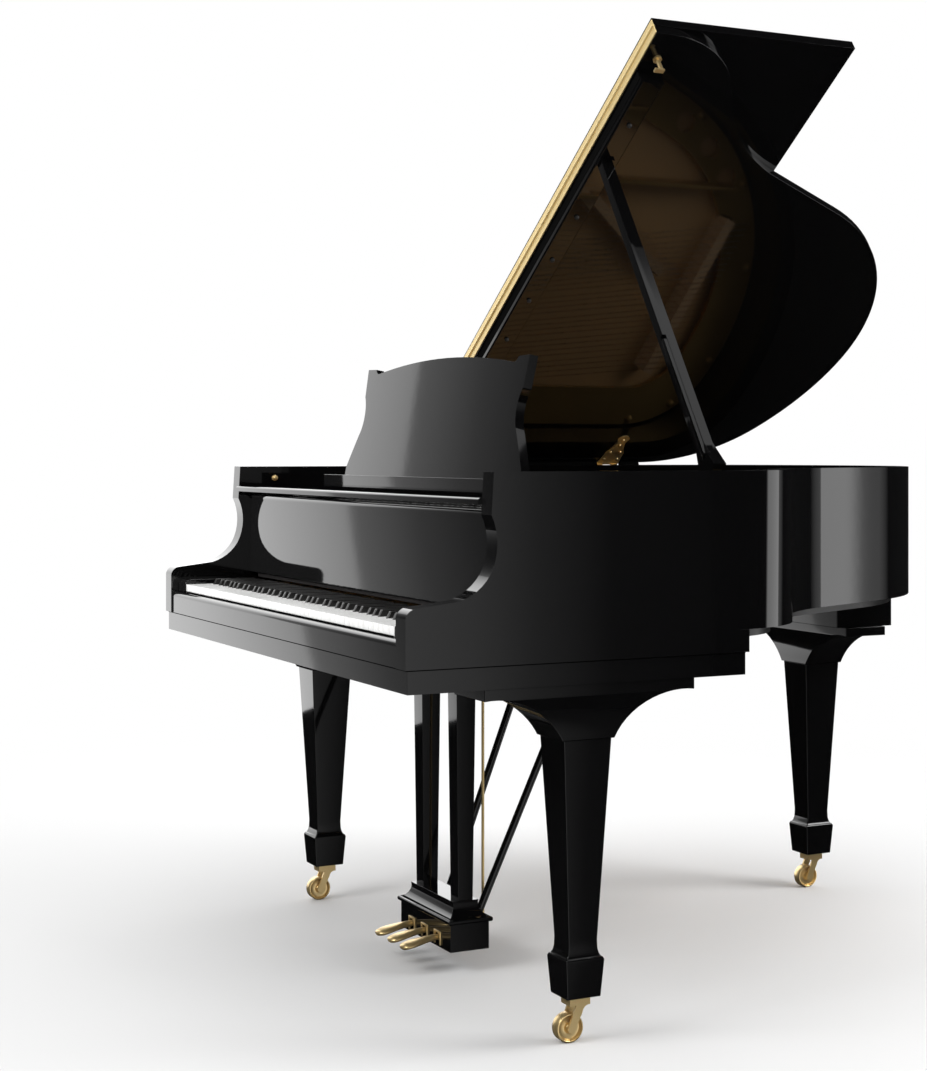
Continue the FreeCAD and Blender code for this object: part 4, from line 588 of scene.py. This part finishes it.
# %% [markdown]
# ## Eased edges
# Lacquered wood never has a knife edge: every arris is rounded by a millimetre or two before it is
# sprayed, and that thin round catches the light. Remodelling each board would repeat the solids, so
# a copy of the node's mesh is merged, its flat triangles joined, and its sharp edges bevelled.

# %% Eased copies
# An edge counts when it turns by this many degrees: on plain boards, and on those with shallow curves.
any_edge, clear_edge = 25, 48


def sharp_edges(shape, least):
    return [edge for edge in shape.edges
            if len(edge.link_faces) == 2 and edge.calc_face_angle(0) > radians(least)]


def edges_at(shape, test):
    return [edge for edge in shape.edges if all(test(vert.co) for vert in edge.verts)]


def round_edges(shape, edges, offset, segments):
    bmesh.ops.bevel(shape, geom=edges, offset=offset, offset_type="OFFSET", affect="EDGES",
                    segments=segments, profile=0.5, material=-1, clamp_overlap=True)


def node_shape(node):
    """A merged copy of a node's mesh, with its flat faces whole again."""
    shape = bmesh.new()
    shape.from_mesh(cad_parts[node].data)
    bmesh.ops.remove_doubles(shape, verts=shape.verts, dist=1e-5)
    bmesh.ops.dissolve_limit(shape, angle_limit=radians(0.6), verts=shape.verts, edges=shape.edges)
    return shape


def eased(node, body, finish, round_by, segments=2, least=any_edge, first=None):
    """A copy of a node with the edges rounded that turn by more than the least angle."""
    shape = node_shape(node)
    if first:
        first(shape)
    round_edges(shape, sharp_edges(shape, least), round_by, segments)
    mesh = mesh_of(node + "_eased", shape)
    mesh.shade_smooth()
    made = add_piece(node + "_eased", mesh, body, finish, (node,))
    made.modifiers.new("normals", "WEIGHTED_NORMAL").weight = 50


print("edges can be eased")

# %% [markdown]
# ## The lacquered boards
# Heavy boards get a wider round than thin ones. Legs and desk have shallow curves of their own, so
# only their sharper edges count. Under the fallboard's lip the corner is not eased but filled: a
# bevel of an inner edge makes the hollow cove that draws a bright line there.

# %% Boards
lip_y, lip_z, lip_near, lip_length, cove_round = -0.6174, 0.9472, 0.001, 0.5, 0.018


def cove_under_lip(shape):
    """Fills the inner corner between the fallboard's face and its lip with a hollow round."""
    near = edges_at(shape, lambda place: max(abs(place.y - lip_y), abs(place.z - lip_z)) < lip_near)
    corner = [edge for edge in near if edge.calc_length() > lip_length]
    round_edges(shape, corner, cove_round, 8)
    print("cove along", len(corner), "edge")


case_boards = {
    "rim": 0.0022, "key_bed": 0.0012, "key_blocks": 0.002, "stretcher_rail": 0.0012,
    "leg_brackets": 0.0012, "rear_leg_block": 0.0012, "front_left_leg": 0.0016,
    "front_right_leg": 0.0016, "rear_leg": 0.0016, "lyre_frame": 0.0016, "pedal_box": 0.0014,
    "lyre_braces": 0.001, "desk_rails": 0.0012}
moving_boards = {
    "lid": ("lid", 0.003), "lid_batten": ("lid", 0.0015), "lid_flap": ("flap", 0.0015),
    "lid_prop": ("prop", 0.0025), "half_stick": ("half_stick", 0.0012),
    "fallboard": ("fallboard", 0.0015), "desk_tray": ("desk_tray", 0.0015),
    "music_desk": ("music_desk", 0.0025), "desk_strut": ("desk_strut", 0.001)}
for node, round_by in case_boards.items():
    eased(node, "case", lacquer, round_by,
          least=clear_edge if "leg" in node else any_edge)
for node, (body, round_by) in moving_boards.items():
    eased(node, body, lacquer, round_by,
          least=clear_edge if "desk" in node else any_edge,
          first=cove_under_lip if node == "fallboard" else None)
print(len(case_boards) + len(moving_boards), "boards eased")

# %% [markdown]
# ## Key slip
# The slip in front of the keys is a long board whose top edge is worked to a broad round, so it
# draws a bright band under the keys. A cube scaled to the node's box and one wide bevel give it.

# %% Slip
slip_round, touching = 0.0115, 1e-5
slip_low, slip_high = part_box("key_slip")
shape = long_board(slip_low, slip_high)
top_front = edges_at(shape, lambda place: (place.z > slip_high[2] - touching
                                           and place.y < slip_low[1] + touching))
round_edges(shape, top_front, slip_round, 10)
made = smooth_piece("key_slip_board", shape, "case", lacquer, ("key_slip",))
evener = made.modifiers.new("normals", "WEIGHTED_NORMAL")
evener.weight, evener.keep_sharp = 100, True
print("slip rounded by", round(slip_round * 1000, 1), "mm")

# %% [markdown]
# ## Felt at the keys
# A strip of matte black stands between the slip and the fronts of the keys, painted shade for the
# gap there, and a strip of felt fills the gap between the keys and the fallboard. Both reach from
# the first key to the last.

# %% Felt strips
keys_low, keys_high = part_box("natural_keys")
# Painted shade: a matte black strip for the shaded gap between the slip and the key fronts.
beyond_keys, slip_shade_foot, slip_shade_rise = 0.004, 0.700, 0.0030
slip_shade_front, slip_shade_back = slip_high[1] + 0.0004, slip_high[1] + 0.0020
shape = long_board((keys_low[0] - beyond_keys, slip_shade_front, slip_shade_foot),
                   (keys_high[0] + beyond_keys, slip_shade_back, slip_high[2] + slip_shade_rise))
add_piece("slip_shade_strip", mesh_of("slip_shade_strip", shape), "case", painted_dark_felt)
felt_front, felt_back, felt_ease = -0.6195, -0.6075, 0.0008
over_sharps, under_fallboard = 0.0010, 0.0012
felt_low = (keys_low[0], felt_front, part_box("sharp_keys")[1][2] + over_sharps)
felt_high = (keys_high[0], felt_back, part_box("fallboard")[0][2] - under_fallboard)
key_felt = Finish("key_felt")
fluff = key_felt.noise(1000.0, 3.0)
key_felt.surface({
    "Base Color": key_felt.mix(fluff, (0.004, 0.003, 0.003), (0.009, 0.006, 0.006)),
    "Roughness": 0.9, "Normal": key_felt.bump(fluff, 0.4, 0.0006)})
shape = long_board(felt_low, felt_high)
round_edges(shape, shape.edges[:], felt_ease, 2)
add_piece("key_felt_strip", mesh_of("key_felt", shape), "case", key_felt)
print("felt strip behind the keys of", round((felt_high[2] - felt_low[2]) * 1000, 1), "mm")

# %% [markdown]
# ## The shadow line round the key bed
# Where the key bed meets the boards above it, those boards overhang it a little and a thin line of
# shade falls under them. Three flat black bars along the front and the two ends are painted shade
# for it, a hair proud of the bed.

# %% Shadow line at the key bed
# Painted shadow: matte black bars, faintly flecked, where shade falls under the overhang round the key
# bed.
gap = Finish("shadow_gap")
shade_flecks = gap.noise(600.0, 2.0)
gap.surface({
    "Base Color": gap.mix(shade_flecks, (0.0010, 0.0010, 0.0010), (0.0022, 0.0021, 0.0020)),
    "Roughness": 0.95, "Specular IOR Level": 0.0})
low, high = (Vector(corner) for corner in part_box("key_bed"))
proud, tall = 0.0007, 0.0022
bars = (((low.x, low.y - proud), (high.x, low.y + proud)),
        ((high.x - proud, low.y), (high.x + proud, high.y)),
        ((low.x - proud, low.y), (low.x + proud, high.y)))
shape = bmesh.new()
for start, end in bars:
    add_box(shape, (*start, high.z - tall), (*end, high.z))
add_piece("bed_shadow_line", mesh_of("bed_shadow_line", shape), "case", gap)
print(len(bars), "bars at the key bed")

# %% [markdown]
# ## Rounded keys
# The covers of the naturals are eased by about half a millimetre so that a run of keys reads as
# separate levers, and the sharps are rounded more because the hand rubs against them. The same copy
# and bevel does it, with one segment where a shape is repeated over fifty times.

# %% Eased keys
natural_ease, sharp_ease, cover_angle = 0.0006, 0.0013, 40
eased("natural_keys", "natural_keys", ivory, natural_ease, 1, cover_angle)
eased("sharp_keys", "sharp_keys", ebony, sharp_ease, 2, any_edge)
print("88 keys eased")

# %% [markdown]
# ## Turned fittings
# Wheels, knobs, bumpers and screws were turned on a lathe. Blender's lathe is spin: a profile of a
# few points goes once round an axis, and the seam is merged. The normals are recalculated because
# the direction of the profile decides which way they face.

# %% A lathe
def turned(shape, profile, steps, matrix, closed=False):
    """Adds a profile of (along, radius) points, spun round the X axis and then put in place."""
    before = set(shape.verts)
    verts = [shape.verts.new((along, 0, radius)) for along, radius in profile]
    ends = verts[1:] + verts[:1] if closed else verts[1:]
    edges = [shape.edges.new(pair) for pair in zip(verts, ends)]
    bmesh.ops.spin(shape, geom=verts + edges, cent=(0, 0, 0), axis=(1, 0, 0), angle=2 * pi, steps=steps,
                   use_merge=True)
    made = [vert for vert in shape.verts if vert not in before]
    bmesh.ops.remove_doubles(shape, verts=made, dist=1e-6)
    made = [vert for vert in shape.verts if vert not in before]
    bmesh.ops.recalc_face_normals(shape, faces=list({face for vert in made for face in vert.link_faces}))
    bmesh.ops.transform(shape, matrix=matrix, verts=made)


print("the lathe is ready")

# %% [markdown]
# ## Casters
# Half of a wheel's section is written down, from the bore over the hollow web to the tread, and
# mirrored for the other half. The forks keep their shape and are eased like the boards.

# %% Casters
side = [(0.012, 0.0042), (0.012, 0.0072), (0.0112, 0.0080), (0.0060, 0.0100), (0.0052, 0.0150),
        (0.0060, 0.0195), (0.0098, 0.0218), (0.0112, 0.0224), (0.0118, 0.0232), (0.0112, 0.0250),
        (0.0092, 0.0259)]
wheel_profile = side + [(-along, radius) for along, radius in reversed(side)]
fork_ease, fork_angle = 0.0009, 30
for leg in ("front_left", "front_right", "rear"):
    low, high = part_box(leg + "_caster_wheel")
    middle = (Vector(low) + Vector(high)) / 2
    shape = bmesh.new()
    turned(shape, wheel_profile, 48, Matrix.Translation(middle), True)
    smooth_piece(leg + "_wheel", shape, leg + "_caster_wheel", brass, (leg + "_caster_wheel",))
    eased(leg + "_caster_fork", leg + "_caster_fork", brass, fork_ease, 2, fork_angle)
print("three casters")

# %% [markdown]
# ## Pedals
# A pedal is a brass casting: a flat lever inside the box, and outside it a neck that widens to a
# round, slightly drooping tip, polished until no edge is left. Rings of eight points along the lever
# are bridged and capped, and a subdivision surface rounds them like the real casting.

# %% Pedals
# The subdivision draws the points inward, so every ring starts out wider than the casting.
ring_points, ring_reach = 8, 1.27


def ring(shape, place, half_width, half_height):
    """Adds a flat ring of points across the lever and returns its edges."""
    upright = Matrix.Rotation(radians(90), 4, "X") @ Matrix.Rotation(pi / ring_points, 4, "Z")
    spread = Matrix.Diagonal((half_width, 1.0, half_height, 1.0))
    made = bmesh.ops.create_circle(shape, cap_ends=False, segments=ring_points, radius=ring_reach,
                                   matrix=Matrix.Translation(place) @ spread @ upright)
    return list({edge for vert in made["verts"] for edge in vert.link_edges})


# For each ring: its place along the lever, half its width, its drop below the node's top, its height.
pedal_rings = (
    (0.0100, 0.0068, 0.0196, 0.0056), (0.0126, 0.0126, 0.0172, 0.0092),
    (0.0190, 0.0168, 0.0148, 0.0116), (0.0290, 0.0178, 0.0122, 0.0124),
    (0.0400, 0.0168, 0.0100, 0.0124), (0.0520, 0.0140, 0.0082, 0.0118),
    (0.0660, 0.0106, 0.0064, 0.0112), (0.0800, 0.0080, 0.0051, 0.0104),
    (0.0910, 0.0070, 0.0046, 0.0098), (0.1060, 0.0064, 0.0030, 0.0110),
    (0.1250, 0.0062, 0.0008, 0.0130), (0.1920, 0.0062, 0.0006, 0.0130),
    (0.1945, 0.0056, 0.0010, 0.0122))
for name in ("left_pedal", "middle_pedal", "right_pedal"):
    low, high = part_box(name)
    shape = bmesh.new()
    last = None
    for along, half_width, drop, height in pedal_rings:
        place = Vector(((low[0] + high[0]) / 2, low[1] + along, high[2] - drop - height / 2))
        edges = ring(shape, place, half_width, height / 2)
        if last is None:
            bmesh.ops.edgeloop_fill(shape, edges=edges)
        else:
            bmesh.ops.bridge_loops(shape, edges=last + edges)
        last = edges
    bmesh.ops.edgeloop_fill(shape, edges=last)
    bmesh.ops.recalc_face_normals(shape, faces=shape.faces)
    piece = smooth_piece(name + "_casting", shape, name, brass, (name,), 180)
    rounder = piece.modifiers.new("rounder", "SUBSURF")
    rounder.levels = rounder.render_levels = 2
print("three pedals of", len(pedal_rings), "rings")

# %% [markdown]
# ## Pedal frames
# Where a pedal leaves the box it passes through a small brass frame, open at the bottom, screwed to
# the front of the box. It is the outline of an arch with square shoulders: eight points make one
# face, extrude gives it the depth of the plate, and a bevel takes the edges off.

# %% Pedal frames
def pulled_verts(result):
    """The new points of an extrusion."""
    return [item for item in result["geom"] if isinstance(item, bmesh.types.BMVert)]


arch_half, arch_rise, arch_depth, arch_ease = 0.0165, 0.0276, 0.003, 0.0009
opening_half, opening_rise = 0.0112, 0.0230
foot_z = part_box("pedal_escutcheons")[0][2]
arch_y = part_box("pedal_escutcheons")[1][1]
outline = (
    (-arch_half, 0), (-arch_half, arch_rise), (arch_half, arch_rise), (arch_half, 0),
    (opening_half, 0), (opening_half, opening_rise), (-opening_half, opening_rise), (-opening_half, 0))
shape = bmesh.new()
for name in ("left_pedal", "middle_pedal", "right_pedal"):
    low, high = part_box(name)
    middle = (low[0] + high[0]) / 2
    face = shape.faces.new([shape.verts.new((middle + x, arch_y, foot_z + z)) for x, z in outline])
    pulled = bmesh.ops.extrude_face_region(shape, geom=[face])
    bmesh.ops.translate(shape, vec=(0, -arch_depth, 0), verts=pulled_verts(pulled))
bmesh.ops.recalc_face_normals(shape, faces=shape.faces)
round_edges(shape, sharp_edges(shape, 40), arch_ease, 2)
smooth_piece("pedal_frames", shape, "case", brass, ("pedal_escutcheons",))
print("three pedal frames", round(arch_half * 2000), "mm wide")

# %% [markdown]
# ## Screws in the lid's hinges
# Slotted screws hold the hinge leaves: a turned head whose slot is cut by two planes and pushed in.
# What belongs to the lid is placed as if the lid were shut and then swung open about its hinge line.

# %% Hinge screws
lid_line, lid_open = Vector((-0.725 + row_x, 0, 1.011)), 35.0
swing = (Matrix.Translation(lid_line) @ Matrix.Rotation(radians(-lid_open), 4, "Y")
         @ Matrix.Translation(-lid_line))
point_down = Matrix.Rotation(radians(90), 4, "Y")
# Shares of a screw's radius: the head's small end, its thickness, half the slot's width, its depth.
head_end, head_thick, slot_half, slot_deep = 0.86, 0.36, 0.13, 0.2


def screw(shape, radius, matrix):
    """A slotted head along X, its flat end at the origin."""
    before = set(shape.verts)
    bmesh.ops.create_cone(shape, cap_ends=True, segments=16, radius1=radius, radius2=radius * head_end,
                          depth=radius * head_thick, matrix=point_down)
    made = [vert for vert in shape.verts if vert not in before]
    for sign in (-1, 1):
        faces = list({face for vert in made for face in vert.link_faces})
        edges = list({edge for face in faces for edge in face.edges})
        bmesh.ops.bisect_plane(shape, geom=made + edges + faces, dist=1e-7,
                               plane_co=(0, sign * radius * slot_half, 0), plane_no=(0, 1, 0))
        made = [vert for vert in shape.verts if vert not in before]
    slot = list({face for vert in made for face in vert.link_faces
                 if abs(face.calc_center_median().y) < radius * slot_half and face.normal.x > 0.9})
    pushed = bmesh.ops.extrude_face_region(shape, geom=slot)
    bmesh.ops.delete(shape, geom=slot, context="FACES")
    bmesh.ops.translate(shape, vec=(-radius * slot_deep, 0, 0), verts=pulled_verts(pushed))
    made = [vert for vert in shape.verts if vert not in before]
    bmesh.ops.translate(shape, vec=(radius * head_thick / 2, 0, 0), verts=made)
    bmesh.ops.transform(shape, matrix=matrix, verts=made)


leaf_start, leaf_length, leaf_level = lid_line.x + 0.0065, 0.118, 1.005
hinge_length, hinge_middles, screw_radius = 0.063, (0.7677 + row_y, 1.1471 + row_y), 0.0042
screw_shares = ((0.14, 0.30), (0.14, -0.30), (0.40, 0.22), (0.40, -0.22), (0.66, 0.0), (0.85, 0.0))
shape = bmesh.new()
for middle in hinge_middles:
    for along, aside in screw_shares:
        place = Vector((leaf_start + along * leaf_length, middle + aside * hinge_length, leaf_level))
        screw(shape, screw_radius, swing @ Matrix.Translation(place) @ point_down)
smooth_piece("hinge_screws", shape, "lid", brass)
print(len(hinge_middles) * len(screw_shares), "screws")

# %% [markdown]
# ## Bumpers and dark covers on the lid
# Six rubber bumpers sit on the batten under the lid and meet the rim when it closes. The flap's leaf
# of the long hinge shows as a narrow strip, so its free edge is trimmed. Matte black felt that mirrors
# nothing covers the front of the batten and, as a bead between the hinges, the edge of the lid that
# meets the case: painted dark in place of what the lacquer there would mirror.

# %% Bumpers, strip and dark covers
bumper = [(0.0, 0.0), (0.0, 0.0050), (0.003, 0.0048), (0.0048, 0.0036), (0.0055, 0.0018),
          (0.0048, 0.0011), (0.0046, 0.0)]
bumper_count, bumper_step = 6, 0.138
bumper_x, bumper_y, bumper_z = lid_line.x + 0.535, 0.648 + row_y, 0.977
shape = bmesh.new()
for index in range(bumper_count):
    place = Vector((bumper_x + index * bumper_step, bumper_y, bumper_z))
    turned(shape, bumper, 20, swing @ Matrix.Translation(place) @ point_down)
smooth_piece("lid_bumpers", shape, "lid", rubber)
flap_line, leaf_edge, leaf_trim = Vector((-0.123425, -0.188463, 1.440359)), 0.0165, 0.0025
lid_turn = swing.to_3x3()
outward = lid_turn @ Vector((0, 0, 1))
shape = node_shape("flap_hinge_flap_leaf")
for vert in shape.verts:
    if (vert.co - flap_line).dot(outward) > leaf_edge:
        vert.co -= leaf_trim * outward
smooth_piece("flap_hinge_strip", shape, "flap", lit_satin_brass, ("flap_hinge_flap_leaf",))
# Corners of the batten's dark cover, a painted dark reflection, counted from the middle of the flap's
# hinge along the lid.
batten_low, batten_high = (-0.617, 0.0053, -0.0385), (0.617, 0.0061, -0.0205)
shape = long_board(batten_low, batten_high)
bmesh.ops.transform(shape, matrix=Matrix.Translation(flap_line) @ lid_turn.to_4x4(), verts=shape.verts)
smooth_piece("batten_dark_cover", shape, "lid", painted_dark_felt)
# The bead is matte black too, painted dark in place of a reflection.
bead_spans = ((-0.1862, -0.0703), (-0.0052, 0.3090), (0.3742, 0.430))
bead_low, bead_high, bead_wide, bead_round = 0.9975, 1.0095, 0.0098, 0.0015
shape = bmesh.new()
for start, end in bead_spans:
    add_box(shape, (lid_line.x, start, bead_low), (lid_line.x + bead_wide, end, bead_high))
round_edges(shape, shape.edges[:], bead_round, 2)
bmesh.ops.transform(shape, matrix=swing, verts=shape.verts)
smooth_piece("lid_edge_bead", shape, "lid", painted_dark_felt)
print(bumper_count, "bumpers, a hinge strip, felt and", len(bead_spans), "lengths of bead")

# %% [markdown]
# ## A knob on the arm
# A small brass knob sits inside the left arm of the case, turned with a foot, a neck and a round head.

# %% Arm knob
knob = [(0.0, 0.0), (0.0, 0.0068), (0.0014, 0.0066), (0.0022, 0.0034), (0.0042, 0.0032),
        (0.0060, 0.0050), (0.0085, 0.0056), (0.0108, 0.0040), (0.0116, 0.0)]
knob_place = (-0.665 + row_x, 0.2434 + row_y, 0.9784)
shape = bmesh.new()
turned(shape, knob, 24, Matrix.Translation(knob_place))
smooth_piece("arm_knob", shape, "case", brass)
print("knob at", [round(value, 3) for value in knob_place])

# %% [markdown]
# ## Tuning pins
# The pins are round steel with a narrower top for the tuning key, so each square pin of the solid
# gives its place to a short turned one. The solids of the node are found by walking along the edges
# of its mesh, one island after another.

# %% Tuning pins
def islands(node):
    """The boxes of the separate solids in a node's mesh."""
    shape = node_shape(node)
    done = set()
    boxes = []
    for first in shape.verts:
        if first in done:
            continue
        found, ends = {first}, [first]
        while ends:
            vert = ends.pop()
            new = {link.other_vert(vert) for link in vert.link_edges} - found
            ends.extend(new)
            found |= new
        done |= found
        points = [vert.co for vert in found]
        boxes.append((Vector(map(min, zip(*points))), Vector(map(max, zip(*points)))))
    shape.free()
    return boxes


pin_boxes = islands("tuning_pins")
pin_radius, neck_radius, top_radius = 0.0033, 0.0024, 0.0021
thread_share, neck_share = 0.62, 0.72
point_up = Matrix.Rotation(radians(-90), 4, "Y")
shape = bmesh.new()
for low, high in pin_boxes:
    tall = high.z - low.z
    profile = [(0.0, 0.0), (0.0, pin_radius), (tall * thread_share, pin_radius),
               (tall * neck_share, neck_radius), (tall, top_radius), (tall, 0.0)]
    place = Vector(((low.x + high.x) / 2, (low.y + high.y) / 2, low.z))
    turned(shape, profile, 8, Matrix.Translation(place) @ point_up)
smooth_piece("round_tuning_pins", shape, "case", steel, ("tuning_pins",), 40)
print(len(pin_boxes), "tuning pins")

# %% [markdown]
# ## Bolts and string felt
# Bolts with domed heads hold the iron frame to the rim, and a strip of red felt lies under the
# strings to keep their short ends quiet. Both stand on the top of the frame.

# %% Bolts and felt
frame_top = 0.882
bolt_places = ((0.659, -0.1245), (0.4148, 0.0926), (0.1789, 0.5148), (0.0148, 0.6723), (-0.2046, 0.7324),
               (-0.4642, 0.6702), (-0.5838, 0.5742), (-0.6276, 0.4558))
bolt = [(0.0, 0.0), (0.0, 0.0125), (0.0018, 0.0125), (0.0022, 0.0096), (0.0052, 0.0088),
        (0.0072, 0.0055), (0.0078, 0.0)]
shape = bmesh.new()
for x, y in bolt_places:
    turned(shape, bolt, 20, Matrix.Translation((x, y, frame_top)) @ point_up)
smooth_piece("frame_bolts", shape, "case", bronze)
red_felt = Finish("red_felt")
fibres = red_felt.noise(1100.0, 3.0)
red_felt.surface({
    "Base Color": red_felt.mix(fibres, (0.16, 0.012, 0.014), (0.27, 0.030, 0.030)),
    "Roughness": 0.85 + 0.1 * fibres, "Normal": red_felt.bump(fibres, 0.4, 0.0008)})
half_length, half_width, thick, felt_round = 0.598, 0.011, 0.0095, 0.0022
felt_y = 0.364 + row_y
shape = long_board((row_x - half_length, felt_y - half_width, frame_top),
                   (row_x + half_length, felt_y + half_width, frame_top + thick))
round_edges(shape, shape.edges[:], felt_round, 3)
smooth_piece("string_felt", shape, "case", red_felt)
print(len(bolt_places), "bolts and a strip of felt")
